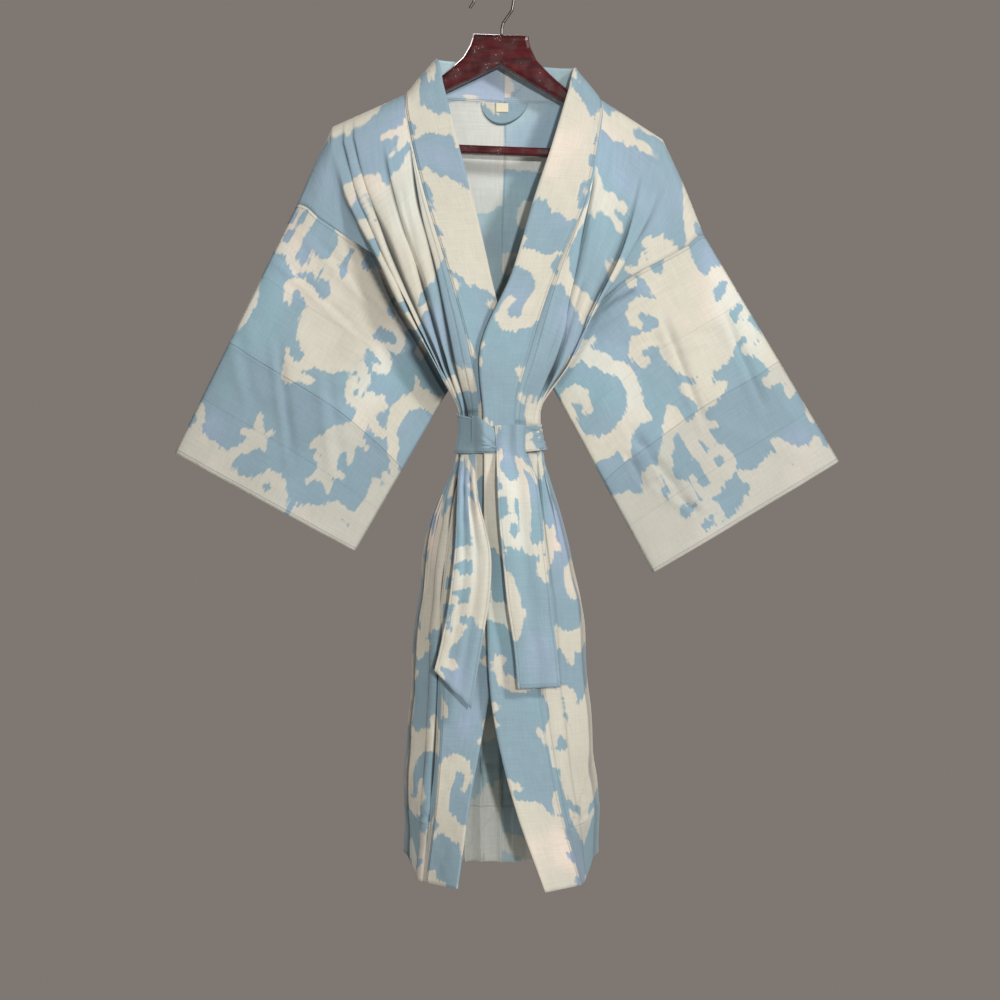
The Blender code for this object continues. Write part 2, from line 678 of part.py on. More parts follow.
def on_grid(grid, i, j):
    """A point of a grid between its rows and columns."""
    rows, columns = grid.shape[:2]
    i, j = min(max(i, 0), rows - 1.001), min(max(j, 0), columns - 1.001)
    a, b = int(i), int(j)
    s, t = i - a, j - b
    upper = grid[a, b] * (1 - t) + grid[a, b + 1] * t
    lower = grid[a + 1, b] * (1 - t) + grid[a + 1, b + 1] * t
    return upper * (1 - s) + lower * s


def inside_back(back, x, fall):
    """The point of the back's middle surface at x and at a distance below the neck seam, in mm."""
    columns = np.arange(BACK_NECK, BACK_NECK + BACK_MIDDLE + 1)
    column = np.interp(x, back[0, columns, 0], columns)
    rows = np.arange(1 + sum(ROWS_BETWEEN[:UNDERARM]))
    heights = np.array([on_grid(back, row, column)[2] for row in rows])
    row = np.interp(fall, heights[0] - heights, rows)
    return on_grid(back, row, column)


def neck_patch(back, cloth, label_cloth):
    """The half-moon patch below the neck seam and the small label on it."""
    lift = (CLOTH / 2 + GAP + PATCH_CLOTH / 2) / MM + PATCH_CLEAR
    grid = []
    for step in range(PATCH_ROWS + 1):
        row = []
        for index in range(PATCH_COLUMNS + 1):
            share = index / PATCH_COLUMNS
            x = PATCH_RIGHT + (PATCH_LEFT - PATCH_RIGHT) * share
            arc = max(PATCH_LEAST, math.sin(math.pi * share**PATCH_LEAN) ** PATCH_ROUND)
            fall = PATCH_TOP + (PATCH_FALL * arc - PATCH_TOP) * step / PATCH_ROWS
            point = inside_back(back, x, fall)
            point[1] -= lift
            row.append(point)
        grid.append(row)
    sheet = Sheets()
    sheet.add("neck_patch", grid)
    sheet.build(PATCH_CLOTH, cloth)
    lift += (PATCH_CLOTH + GAP) / MM + LABEL_CLEAR
    grid = []
    for step in range(LABEL_ROWS + 1):
        row = []
        for index in range(LABEL_COLUMNS + 1):
            x = LABEL_RIGHT + (LABEL_LEFT - LABEL_RIGHT) * index / LABEL_COLUMNS
            point = inside_back(back, x, LABEL_TOP + (LABEL_FALL - LABEL_TOP) * step / LABEL_ROWS)
            point[1] -= lift
            row.append(point)
        grid.append(row)
    sheet = Sheets()
    sheet.add("size_label", grid)
    sheet.build(PATCH_CLOTH, label_cloth)


def tilted(distance, drop, y=0.0):
    """A point of the hanger, from its distance right of the middle and its drop below the block's top."""
    return (
        (HANGER_MIDDLE + distance * math.cos(TILT) - drop * math.sin(TILT)) * MM,
        y * MM,
        (BLOCK_TOP - drop * math.cos(TILT) - distance * math.sin(TILT)) * MM,
    )


# Half of the hanger's outline from the block's top round the arm to the notch below it: distance, drop
HANGER_OUTLINE = (
    (34.5, 0), (35.5, 6), (38, 15), (46, 30), (58, 42), (72, 54), (92, 70), (116, 85.5), (140, 96.5), (165, 107),
    (186, 116.6), (195, 121), (201, 127), (203, 138), (201, 148), (195, 155), (187, 156), (184, 152),
    (184, 137), (176, 131), (160, 122), (116, 99.5), (64, 73.5), (20, 49.5), (0, 38.5),
)


def hanger(wood):
    """The flat wooden hanger: block, both arms and the ends that take the trouser bar."""
    outline = [(distance, drop) for distance, drop in HANGER_OUTLINE]
    outline += [(-distance, drop) for distance, drop in reversed(HANGER_OUTLINE[:-1])]
    shape = bmesh.new()
    front = [shape.verts.new(tilted(d, drop, -HANGER_THICK / 2)) for d, drop in outline]
    face = shape.faces.new(front)
    made = bmesh.ops.extrude_face_region(shape, geom=[face])
    moved = [item for item in made["geom"] if isinstance(item, bmesh.types.BMVert)]
    bmesh.ops.translate(shape, verts=moved, vec=(0, HANGER_THICK * MM, 0))
    bmesh.ops.recalc_face_normals(shape, faces=shape.faces)
    rims = [
        edge for edge in shape.edges
        if abs(edge.verts[0].co.y - edge.verts[1].co.y) < 1e-6
    ]
    bmesh.ops.bevel(
        shape, geom=rims, offset=HANGER_EDGE * MM, offset_type="OFFSET", segments=2, profile=0.5,
        affect="EDGES", clamp_overlap=True,
    )
    mesh = bpy.data.meshes.new("hanger_body")
    shape.to_mesh(mesh)
    shape.free()
    place("hanger_body", mesh, wood)


def trouser_bar(wood):
    """The square bar with softened edges between the arms' ends."""
    shape = bmesh.new()
    bmesh.ops.create_cube(shape, size=1.0)
    length = 2 * (BAR_END - GAP / MM)
    for vertex in shape.verts:
        vertex.co = tilted(vertex.co.x * length, BAR_DROP - vertex.co.z * BAR_SIDE, vertex.co.y * BAR_SIDE)
    longways = [edge for edge in shape.edges if edge.calc_length() > 0.5 * length * MM]
    bmesh.ops.bevel(shape, geom=longways, offset=BAR_ROUND * MM, segments=2, profile=0.5, affect="EDGES")
    mesh = bpy.data.meshes.new("trouser_bar")
    shape.to_mesh(mesh)
    shape.free()
    close(mesh)
    place("trouser_bar", mesh, wood)


def hook(steel):
    """The bent wire hook, from the block's top to its turned-out tip."""
    centre = -(HOOK_RADIUS - HOOK_WIRE / 2)
    route = list(HOOK_STEM)
    for step in range(HOOK_STEPS + 1):
        angle = math.pi * step / HOOK_STEPS
        route.append((HOOK_RADIUS * math.cos(angle), centre + HOOK_RADIUS * math.sin(angle)))
    route += HOOK_TIP
    curve = bpy.data.curves.new("hook", "CURVE")
    curve.dimensions = "3D"
    curve.bevel_depth = HOOK_WIRE / 2 * MM
    curve.bevel_resolution = 3
    curve.use_fill_caps = True
    spline = curve.splines.new("POLY")
    spline.points.add(len(route) - 1)
    for point, (x, z) in zip(spline.points, route):
        point.co = (x * MM, 0.0, z * MM, 1.0)
    thing = bpy.data.objects.new("hook", curve)
    bpy.context.scene.collection.objects.link(thing)
    curve.materials.append(steel)


def main():
    clear_scene()
    cloth = finish("printed cotton", CLOTH_BLUE, 0.85)
    label_cloth = finish("label tape", CLOTH_CREAM, 0.8)
    wood = finish("lacquered wood", MAHOGANY, 0.3)
    steel = finish("steel wire", STEEL, 0.3, 1.0)
    back, waist = robe(cloth)
    neck_patch(back, cloth, label_cloth)
    loop_front = belt_loop(waist, cloth)
    belt_knot(cloth)
    belt_tail("belt_tail_left", LEFT_TAIL, 3, loop_front, 0.0, cloth)
    belt_tail("belt_tail_right", RIGHT_TAIL, 2, loop_front, TAIL_LIFT, cloth)
    hanger(wood)
    trouser_bar(wood)
    hook(steel)


main()
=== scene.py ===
"""Looks of a printed cotton robe with wide sleeves and a tied belt, on a lacquered hanger.

Cloth is laid out as dense grids of points in millimetres over the same sections as the solid parts, and
creased by listed tables. Its blurred two-colour print is made of motifs drawn as distances from simple
shapes.
"""

import math

import bpy
import numpy as np
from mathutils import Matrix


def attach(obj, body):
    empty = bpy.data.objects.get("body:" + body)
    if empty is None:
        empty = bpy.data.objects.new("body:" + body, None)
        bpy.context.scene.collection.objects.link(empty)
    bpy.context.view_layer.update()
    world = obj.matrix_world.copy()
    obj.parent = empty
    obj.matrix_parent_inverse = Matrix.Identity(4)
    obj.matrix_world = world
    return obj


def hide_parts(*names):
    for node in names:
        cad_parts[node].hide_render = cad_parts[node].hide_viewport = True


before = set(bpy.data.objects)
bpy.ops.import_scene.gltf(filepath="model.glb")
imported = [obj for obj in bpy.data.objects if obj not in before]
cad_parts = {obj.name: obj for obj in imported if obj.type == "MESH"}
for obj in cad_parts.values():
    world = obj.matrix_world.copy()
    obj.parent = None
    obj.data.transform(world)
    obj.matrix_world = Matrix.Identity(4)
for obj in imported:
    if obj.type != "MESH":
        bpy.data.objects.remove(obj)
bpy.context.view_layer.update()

MM = 0.001

# Stations down the robe with their distances below the shoulder seam, in mm
STATIONS = (
    ("shoulder", 0),
    ("arm", 28),
    ("yoke", 75),
    ("chest", 135),
    ("bust", 230),
    ("underarm", 335),
    ("belt_top", 408),
    ("belt_foot", 456),
    ("hip", 536),
    ("thigh", 633),
    ("knee", 760),
    ("calf", 878),
    ("hem", 978),
)
DROPS = np.array([drop for _, drop in STATIONS], float)
UNDERARM_DROP = dict(STATIONS)["underarm"]
# The middle of the belt and half its height, and the distance between rows of cloth, in mm
WAIST_DROP = 432
HALF_BELT = 24
ROW_STEP = 4.2
# Steps of cloth from the outer fold round to the side
BEHIND_STEPS = 18
# The hem's sewn line below the shoulder seam, the facing's above the cuff, and the band's width, in metres
HEM_LINE = 0.978 - 0.070
FACING = 0.142
BAND_WIDTH = 0.059
# Where the hem's outer corners begin on both sides, in mm
HEM_CORNERS = (-92, 110)

# Fronts: band edge, band seam, outer fold, tuck behind that fold, side
LEFT_FRONT = {
    "shoulder": ((-72, 0, -116), (-111, 0, -161), (-201, 0, -201), (-224, 0, -248), (-246, 0, -298)),
    "arm": ((-63, -16, -150), (-109, -15, -185), (-201, -14, -232), (-210, -12, -275), (-219, -10, -316)),
    "yoke": ((-44, -20, -226), (-100, -18, -232), (-184, -18, -290), (-181, -12, -320), (-179, -10, -343)),
    "chest": ((-28, -28, -286), (-85, -28, -292), (-152, -34, -355), (-131, -20, -358), (-135, -12, -372)),
    "bust": ((-5, -36, -386), (-57, -42, -384), (-109, -46, -438), (-71, -24, -421), (-89, -12, -414)),
    "underarm": ((17, -38, -490), (-29, -50, -491), (-69, -42, -506), (-39, -22, -485), (-40, 0, -500)),
    "belt_top": ((21, -38, -563), (-19, -44, -563), (-40, -22, -563), (-42, -9, -563), (-41, 4, -563)),
    "belt_foot": ((18, -40, -612), (-27, -46, -612), (-43, -22, -612), (-45, -6, -612), (-43, 14, -612)),
    "hip": ((14, -42, -692), (-45, -50, -692), (-75, -25, -692), (-80, 5, -692), (-74, 30, -692)),
    "thigh": ((6, -46, -790), (-61, -50, -790), (-89, -22, -790), (-94, 12, -790), (-87, 42, -790)),
    "knee": ((-8, -48, -918), (-64, -45, -918), (-98, -15, -918), (-106, 22, -918), (-98, 50, -918)),
    "calf": ((-29, -50, -1036), (-71, -35, -1036), (-106, -2, -1036), (-115, 32, -1036), (-106, 58, -1036)),
    "hem": ((-44, -50, -1140), (-84, -20, -1140), (-104, 15, -1140), (-114, 42, -1140), (-104, 64, -1140)),
}
RIGHT_FRONT = {
    "shoulder": ((102, 0, -127), (132, 0, -167), (210, 0, -217), (236, 0, -271), (262, 0, -336)),
    "arm": ((93, -16, -156), (134, -15, -189), (211, -14, -245), (229, -12, -294), (241, -10, -351)),
    "yoke": ((72, -24, -227), (127, -20, -232), (199, -18, -296), (204, -12, -330), (208, -10, -369)),
    "chest": ((52, -36, -288), (114, -32, -293), (169, -34, -361), (156, -20, -368), (171, -12, -389)),
    "bust": ((23, -48, -387), (76, -46, -387), (129, -44, -429), (96, -24, -421), (129, -12, -424)),
    "underarm": ((-17, -58, -488), (44, -56, -486), (91, -42, -504), (63, -22, -485), (59, 0, -500)),
    "belt_top": ((-13, -54, -563), (26, -52, -563), (53, -24, -563), (56, -9, -563), (54, 4, -563)),
    "belt_foot": ((-12, -56, -612), (31, -52, -612), (59, -24, -612), (62, -6, -612), (60, 14, -612)),
    "hip": ((-12, -60, -692), (41, -56, -692), (79, -30, -692), (86, 4, -692), (81, 30, -692)),
    "thigh": ((-9, -62, -790), (49, -58, -790), (100, -28, -790), (108, 10, -790), (100, 42, -790)),
    "knee": ((-2, -64, -918), (59, -60, -918), (113, -20, -918), (120, 20, -918), (110, 50, -918)),
    "calf": ((25, -66, -1036), (80, -55, -1036), (122, -5, -1036), (131, 32, -1036), (121, 58, -1036)),
    "hem": ((62, -66, -1140), (107, -32, -1140), (123, 15, -1140), (133, 42, -1140), (121, 64, -1140)),
}
# Back: left tuck, left fold, left neck, middle, right neck, right fold, right tuck
BACK = {
    "shoulder": ((-224, 0, -248), (-201, 0, -201), (-111, 0, -161), (13, 24, -164),
                 (132, 0, -167), (210, 0, -217), (236, 0, -271)),
    "arm": ((-210, 12, -275), (-201, 14, -232), (-108, 17, -185), (13, 26, -188),
            (132, 17, -189), (211, 14, -245), (229, 12, -294)),
    "yoke": ((-181, 12, -320), (-184, 18, -290), (-98, 24, -232), (13, 30, -236),
             (122, 24, -236), (199, 18, -296), (204, 12, -330)),
    "chest": ((-131, 20, -358), (-150, 32, -355), (-80, 34, -292), (11, 36, -296),
              (104, 34, -297), (167, 32, -361), (156, 20, -368)),
    "bust": ((-73, 24, -421), (-107, 42, -438), (-52, 42, -384), (9, 44, -388),
             (72, 42, -388), (127, 42, -429), (98, 24, -421)),
    "underarm": ((-44, 20, -485), (-67, 36, -500), (-30, 44, -491), (6, 46, -491),
                 (42, 44, -491), (88, 36, -500), (66, 20, -485)),
    "belt_top": ((-40, 15, -563), (-36, 26, -563), (-19, 37, -563), (6, 42, -563),
                 (30, 37, -563), (47, 26, -563), (52, 15, -563)),
    "belt_foot": ((-42, 24, -612), (-37, 34, -612), (-20, 43, -612), (7, 47, -612),
                  (34, 43, -612), (52, 34, -612), (58, 24, -612)),
    "hip": ((-69, 42, -692), (-58, 51, -692), (-30, 58, -692), (6, 60, -692),
            (40, 58, -692), (67, 51, -692), (77, 42, -692)),
    "thigh": ((-80, 54, -790), (-66, 62, -790), (-34, 66, -790), (5, 67, -790),
              (44, 66, -790), (80, 62, -790), (94, 54, -790)),
    "knee": ((-90, 62, -918), (-72, 69, -918), (-36, 72, -918), (8, 72, -918),
             (48, 72, -918), (88, 69, -918), (104, 62, -918)),
    "calf": ((-98, 68, -1036), (-78, 74, -1036), (-38, 76, -1036), (9, 76, -1036),
             (50, 76, -1036), (94, 74, -1036), (112, 68, -1036)),
    "hem": ((-96, 72, -1140), (-78, 77, -1140), (-38, 78, -1140), (10, 78, -1140),
            (52, 78, -1140), (94, 77, -1140), (112, 72, -1140)),
}
# How far pleats stand out at each station: front, back, back middle
PLEAT_HEIGHT = {
    "shoulder": (0, 0, 0), "arm": (1, 1, 0), "yoke": (4, 4, 1), "chest": (7, 8, 3), "bust": (10, 11, 6),
    "underarm": (8, 9, 7), "belt_top": (4, 4, 4), "belt_foot": (4, 4, 4), "hip": (8, 9, 9),
    "thigh": (8, 11, 11), "knee": (8, 12, 12), "calf": (8, 13, 13), "hem": (8, 13, 13),
}
# Drops at which the lines between pleats are placed, and for each line its share of the way at those drops
# and the depth of the crevice on it in mm, above the belt and below
LINE_DROPS = (0, 75, 135, 230, 335, 408, 456, 536, 633, 760, 978)
LEFT_LINES = (
    ((0.00,) * 11, 0.0, 0.0),
    ((0.02, 0.03, 0.12, 0.24, 0.52, 0.74, 0.70, 0.30, 0.14, 0.18, 0.20), 2.4, 1.5),
    ((0.32, 0.37, 0.45, 0.53, 0.72, 0.86, 0.82, 0.55, 0.45, 0.48, 0.50), 1.0, 0.2),
    ((0.70, 0.72, 0.75, 0.80, 0.88, 0.94, 0.92, 0.80, 0.74, 0.74, 0.76), 1.7, 0.0),
    ((0.84, 0.85, 0.88, 0.915, 0.95, 0.975, 0.97, 0.93, 0.90, 0.90, 0.90), 1.7, 0.0),
    ((1.00,) * 11, 0.0, 0.0),
)
RIGHT_LINES = (
    ((0.00,) * 11, 0.0, 0.0),
    ((0.02, 0.03, 0.08, 0.40, 0.70, 0.88, 0.80, 0.55, 0.50, 0.50, 0.50), 1.5, 0.3),
    ((0.66, 0.72, 0.84, 0.92, 0.95, 0.97, 0.96, 0.90, 0.86, 0.86, 0.86), 0.8, 0.0),
    ((1.00,) * 11, 0.0, 0.0),
)
LEFT_BACK_LINES = (0.0, 0.18, 0.36, 0.70, 1.0)
RIGHT_BACK_LINES = (0.0, 0.42, 0.72, 0.88, 1.0)
MIDDLE_LINES = (0.0, 0.22, 0.49, 0.51, 0.69, 1.0)
# Drops between which the pleats of the chest give way to those of the skirt, and their crevices do
SKIRT_PLEATS = (440, 560)
SKIRT_CREVICES = (440, 640)
# Pleats between those lines: columns, height beside the station's above the belt and below it, lean, and
# the drop at which each begins
LEFT_PLEATS = (
    (16, 0.20, 0.00, -0.3, 60), (22, 0.95, 0.30, 0.30, 60), (18, 0.75, 0.00, 0.30, 40),
    (13, 0.80, 0.00, 0.50, 0), (13, 0.75, 0.00, 0.50, 0),
)
RIGHT_PLEATS = ((22, 0.35, 0.00, -0.2, 80), (24, 0.70, 0.00, -0.25, 90), (13, 0.50, 0.00, -0.4, 40))
LEFT_BACK_PLEATS = (
    (8, 0.55, 0.30, 0.4, 20), (8, 0.80, 0.35, 0.4, 40), (14, 1.00, 0.80, 0.2, 70),
    (12, 0.80, 0.50, -0.2, 90),
)
RIGHT_BACK_PLEATS = (
    (17, 0.90, 0.80, 0.2, 90), (13, 1.00, 0.60, -0.3, 60), (8, 0.70, 0.25, -0.5, 30),
    (7, 0.50, 0.35, -0.4, 20),
)
MIDDLE_PLEATS = (
    (13, 1.00, 0.70, 0.2, 60), (15, 0.75, 0.50, -0.2, 90), (6, 0.00, 0.00, 0.0, 0),
    (10, 0.60, 0.30, 0.3, 90), (18, 1.00, 0.80, 0.1, 60),
)
BAND_TOP = (13, 26, -112)
LEFT_CUFF = ((-399, 0, -608), (-174, 0, -731))
RIGHT_CUFF = ((431, 0, -619), (199, 0, -758))
CUFF_DEPTH = 11.0
SLEEVE_LENGTH_STEPS = 84
# Belt loop: steps round it, its cloth's thickness, and its edges at angles from the right towards the front
LOOP_STEPS = 220
BELT_THICKNESS = 1.4
BELT_LOOP = (
    (0, -573, -604), (30, -576, -606), (70, -578, -610), (100, -578, -610), (135, -566, -611),
    (165, -560, -609), (220, -560, -608), (270, -560, -609), (320, -564, -606), (360, -573, -604),
)
# Tails: both edges from the loop to the end. None stands for the loop's own surface.
LEFT_TAIL = (
    ((-40, None, -611.9), (-23, None, -611.9)),
    ((-43, -66, -640), (-21, -69, -640)),
    ((-44, -72, -670), (-18, -73, -665)),
    ((-46, -74, -710), (-10, -76, -700)),
    ((-49, -75, -750), (-3, -78, -735)),
    ((-54, -76, -790), (-5, -79, -785)),
    ((-62, -76, -832), (-14, -79, -840)),
    ((-71, -76, -871), (-27, -79, -917)),
)
RIGHT_TAIL = (
    ((1, None, -577), (38, None, -576)),
    ((2, None, -594), (38, None, -594)),
    ((3, None, -611), (39, None, -611)),
    ((4, -75, -645), (52, -72, -645)),
    ((6, -77, -690), (58, -74, -690)),
    ((11, -79, -740), (63, -77, -740)),
    ((16, -80, -790), (69, -78, -790)),
    ((24, -80, -843), (75, -78, -843)),
    ((29, -80, -893), (80, -78, -891)),
)
# Pale figures of the print along the cuffs: place round the sleeve, height above the cuff, and half sizes
LEFT_CUFF_FIGURES = (
    (0.028, 0.010, 0.060, 0.026), (0.105, 0.004, 0.040, 0.012), (0.225, 0.010, 0.045, 0.024),
)
RIGHT_CUFF_FIGURES = (
    (0.065, 0.006, 0.080, 0.024), (0.252, 0.016, 0.020, 0.034), (0.165, 0.002, 0.050, 0.010),
)
# Plain ground of the print above the belt on the right front: middle across and down, and half sizes
RIGHT_GROUND = (0.018, -0.330, 0.034, 0.062)
# Lines of painted shade along the valleys that run from the waist up over the right sleeve, in x and z
SLEEVE_VALLEY_SHADE = (
    ((113, -449), (130, -434), (150, -420), (173, -407)),
    ((124, -424), (142, -400), (160, -392), (178, -384)),
)
# Edges of the belt as seen from the front, in x and z, along which painted shadow darkens the fronts
BELT_TOP_EDGE = ((-52, -562), (-30, -559), (0, -563), (20, -572), (55, -576))
BELT_FOOT_EDGE = ((-52, -612), (-20, -614), (10, -611), (55, -606))
# Creases in mm as seen from the front: x and z of both ends, width, height and kind
LEFT_CREASES = (
    (-150, -300, -95, -470, 7, 2.6, "step"),
    (-125, -260, -70, -480, 6, 2.0, "step"),
    (-60, -690, -75, -1010, 7, 2.2, "step"),
    (-88, -700, -96, -1000, 12, 1.2, "ridge"),
    (-110, -1046, -44, -1086, 2.2, 1.8, "step"),
    (-100, -880, -60, -900, 10, 1.2, "ridge"),
    (-190, -215, -150, -330, 6, 1.6, "ridge"),
)
RIGHT_CREASES = (
    (112, -380, 70, -520, 5, 2.6, "step"),
    (150, -350, 100, -470, 8, 2.6, "step"),
    (90, -330, 55, -500, 6, 2.0, "step"),
    (100, -420, 52, -560, 3, 1.8, "step"),
    (62, -900, 80, -1080, 9, 2.4, "step"),
    (128, -1048, 72, -1072, 2.2, 1.8, "step"),
    (60, -780, 110, -800, 12, 1.4, "ridge"),
    (190, -230, 150, -350, 9, 1.8, "ridge"),
    (160, -210, 125, -330, 8, 1.4, "ridge"),
)
BACK_CREASES = (
    (-60, -420, -30, -540, 8, 2.4, "step"),
    (80, -400, 40, -540, 8, 2.4, "step"),
    (-40, -700, -60, -1000, 10, 2.8, "step"),
    (60, -700, 75, -1000, 10, 2.6, "step"),
    (-70, -1046, 90, -1046, 2.5, 1.8, "step"),
    (-60, -1010, 70, -1016, 4, 1.4, "ridge"),
    (-120, -250, 90, -262, 14, 1.6, "ridge"),
)
LEFT_SLEEVE_CREASES = (
    (-310, -330, -150, -480, 5, 2.6, "step"),
    (-250, -320, -105, -470, 7, 3.0, "step"),
    (-215, -300, -95, -440, 4, 2.2, "step"),
    (-330, -440, -300, -560, 9, 2.8, "step"),
    (-275, -450, -250, -640, 7, 3.0, "step"),
    (-215, -490, -190, -670, 9, 2.6, "step"),
    (-290, -360, -180, -430, 10, 2.0, "ridge"),
    (-350, -500, -240, -560, 12, 1.8, "ridge"),
    (-240, -560, -150, -610, 10, 1.6, "ridge"),
)
RIGHT_SLEEVE_CREASES = (
    (95, -455, 215, -345, 5, 3.6, "step"),
    (105, -470, 250, -385, 6, 3.2, "step"),
    (120, -490, 300, -460, 8, 2.8, "step"),
    (110, -430, 175, -350, 4, 2.6, "step"),
    (200, -420, 270, -600, 8, 3.0, "step"),
    (270, -400, 345, -580, 8, 2.8, "step"),
    (300, -340, 335, -450, 8, 2.2, "step"),
    (150, -560, 260, -700, 8, 2.4, "step"),
    (240, -560, 380, -610, 12, 1.8, "ridge"),
    (330, -500, 400, -600, 9, 2.0, "ridge"),
    (163, -608, 192, -664, 4, 3.0, "step"),
    (185, -640, 262, -690, 5, 2.2, "step"),
    (150, -600, 215, -612, 5, 1.6, "ridge"),
)
# What the lights are turned to
LIGHTS_AIM = (0.0, 0.0, -0.6)


# Paths, rails and pleats

def curved(start, end, out, into, t):
    """The point at a share t of a smooth curve with given ways out of its start and into its end."""
    return (
        start * (1 + 2 * t) * (1 - t) ** 2 + out * t * (1 - t) ** 2
        + end * t * t * (3 - 2 * t) + into * t * t * (t - 1)
    )


def smooth_path(points, stops, places):
    """Points at places on the smooth curve that passes points at stops."""
    points = np.asarray(points, float)
    stops = np.asarray(stops, float)
    places = np.atleast_1d(np.asarray(places, float))
    steps = np.diff(stops)[:, None]
    slopes = np.diff(points, axis=0) / steps
    inner = (slopes[:-1] * steps[1:] + slopes[1:] * steps[:-1]) / (steps[1:] + steps[:-1])
    slopes = np.vstack([slopes[:1], inner, slopes[-1:]])
    index = np.clip(np.searchsorted(stops, places, side="right") - 1, 0, len(stops) - 2)
    width = np.diff(stops)[index][:, None]
    t = (places - stops[index])[:, None] / width
    return curved(points[index], points[index + 1], slopes[index] * width, slopes[index + 1] * width, t)


def step_up(value, low, high):
    t = np.clip((value - low) / (high - low), 0, 1)
    return t * t * (3 - 2 * t)


def row_drops():
    drops = [0.0]
    for low, high in zip(DROPS[:-1], DROPS[1:]):
        count = max(2, round((high - low) / ROW_STEP))
        drops += [low + (high - low) * step / count for step in range(1, count + 1)]
    return np.array(drops)


def rail(table, column, drops):
    """A rail's points at distances below the shoulder, rounded over the top of the hanger's arm."""
    points = np.array([table[name][column] for name, _ in STATIONS], float)
    line = smooth_path(points[1:], DROPS[1:], drops)
    top, low = points[0], points[1]
    over = drops < DROPS[1]
    share = drops[over] / DROPS[1]
    turn = math.pi / 2 * share
    line[over, 0] = top[0] + (low[0] - top[0]) * share
    line[over, 1] = top[1] + (low[1] - top[1]) * np.sin(turn)
    line[over, 2] = top[2] + (low[2] - top[2]) * (1 - np.cos(turn))
    return line


def pleat_height(kind, drops):
    heights = [[PLEAT_HEIGHT[name][kind]] for name, _ in STATIONS]
    return np.maximum(0.0, smooth_path(heights, DROPS, drops)[:, 0])


def pleat_profile(lines, pleats, drops):
    """Along, rise, crevice depth and shade of each row and column of a stretch, for its pleats."""
    marks, depths = [], []
    for line in lines:
        shares, depth, below = line if isinstance(line, tuple) else ((line,) * len(LINE_DROPS), 0.0, 0.0)
        marks.append(smooth_path([[share] for share in shares], LINE_DROPS, drops)[:, 0])
        depths.append(depth + (below - depth) * step_up(drops, *SKIRT_CREVICES)[:, None])
    fall = step_up(drops, *SKIRT_PLEATS)[:, None]
    along, rise, crevice, shade = [], [], [], []
    for index, (columns, above, under, lean, begin) in enumerate(pleats):
        low, high = marks[index][:, None], marks[index + 1][:, None]
        t = np.arange(columns)[None] / columns
        begun = step_up(drops, begin, begin + 90)[:, None]
        hump = np.sin(math.pi * t) ** 2 * (t if lean >= 0 else 1 - t)
        along.append(low + (high - low) * (t + lean * hump * begun * (1 - 0.5 * fall)))
        rise.append(np.sin(math.pi * t) ** 0.75 * (above * (1 - fall) * begun + under * fall))
        near = np.exp(-((t * columns / 1.3) ** 2)) * depths[index]
        near = near + np.exp(-(((1 - t) * columns / 1.3) ** 2)) * depths[index + 1]
        opened = step_up(drops, begin, begin + 60)[:, None]
        crevice.append(near * opened)
        # Painted shade: the pleat that leans over this one leaves it dark beside their line
        beside, depth = (t, depths[index]) if lean >= 0 else (1 - t, depths[index + 1])
        shade.append(np.exp(-((beside * columns / 2.6) ** 2)) * np.minimum(1.0, depth / 1.6) * opened)
    along = np.clip(np.concatenate(along, axis=1), 0, 1)
    rise, crevice, shade = (np.concatenate(columns, axis=1) for columns in (rise, crevice, shade))
    return along, rise, crevice, shade


def pleated(start, end, lines, pleats, heights, outward, drops):
    """Rows of points from start to end with leaning pleats."""
    along, rise, crevice, shade = pleat_profile(lines, pleats, drops)
    chord = end - start
    aside = np.stack([-chord[:, 1], chord[:, 0], np.zeros(len(chord))], axis=1) * outward
    aside /= np.maximum(np.linalg.norm(aside, axis=1), 1e-6)[:, None]
    lift = heights[:, None] * rise - crevice
    return start[:, None] + chord[:, None] * along[:, :, None] + aside[:, None] * lift[:, :, None], shade


def turned_back(fold, tuck, side):
    """Rows of points from the outer fold to the tuck behind it and out to the side."""
    columns = []
    for step in range(BEHIND_STEPS + 1):
        place = 2.0 * step / BEHIND_STEPS
        if place < 1.0:
            columns.append(curved(fold, tuck, tuck - fold, (side - fold) / 2, place))
        else:
            columns.append(curved(tuck, side, (side - fold) / 2, side - tuck, place - 1.0))
    return np.stack(columns, axis=1)


def front_grid(table, lines, pleats, hand, drops):
    """A front's rows from the band seam to the side, and how far each point lies in the shade of a fold."""
    seam, fold, tuck, side = (rail(table, column, drops) for column in (1, 2, 3, 4))
    face, shade = pleated(seam, fold, lines, pleats, pleat_height(0, drops), hand, drops)
    behind = np.zeros((len(drops), BEHIND_STEPS + 1))
    # Painted shade on the cloth just behind the outer fold, less on the right front
    painted_shade = 1.0 if hand > 0 else 0.4
    behind[:, :6] = np.array([0.5, 1.0, 0.9, 0.6, 0.3, 0.1]) * painted_shade * step_up(drops, 35, 110)[:, None]
    grid = np.concatenate([face, turned_back(fold, tuck, side)], axis=1)
    return grid, np.concatenate([shade, behind], axis=1)


def round_neck(left, middle, right, shares):
    """Rows of points from left to right that bow out to middle, as cloth does behind a neck."""
    columns = []
    for share in shares:
        start, turn = (left, share * 2) if share < 0.5 else (right, (1 - share) * 2)
        point = start + (middle - start) * turn
        risen = math.sin(math.pi / 2 * max(turn, 0)) ** 0.6
        point[:, 1] = start[:, 1] + (middle[:, 1] - start[:, 1]) * risen
        columns.append(point)
    return np.stack(columns, axis=1)


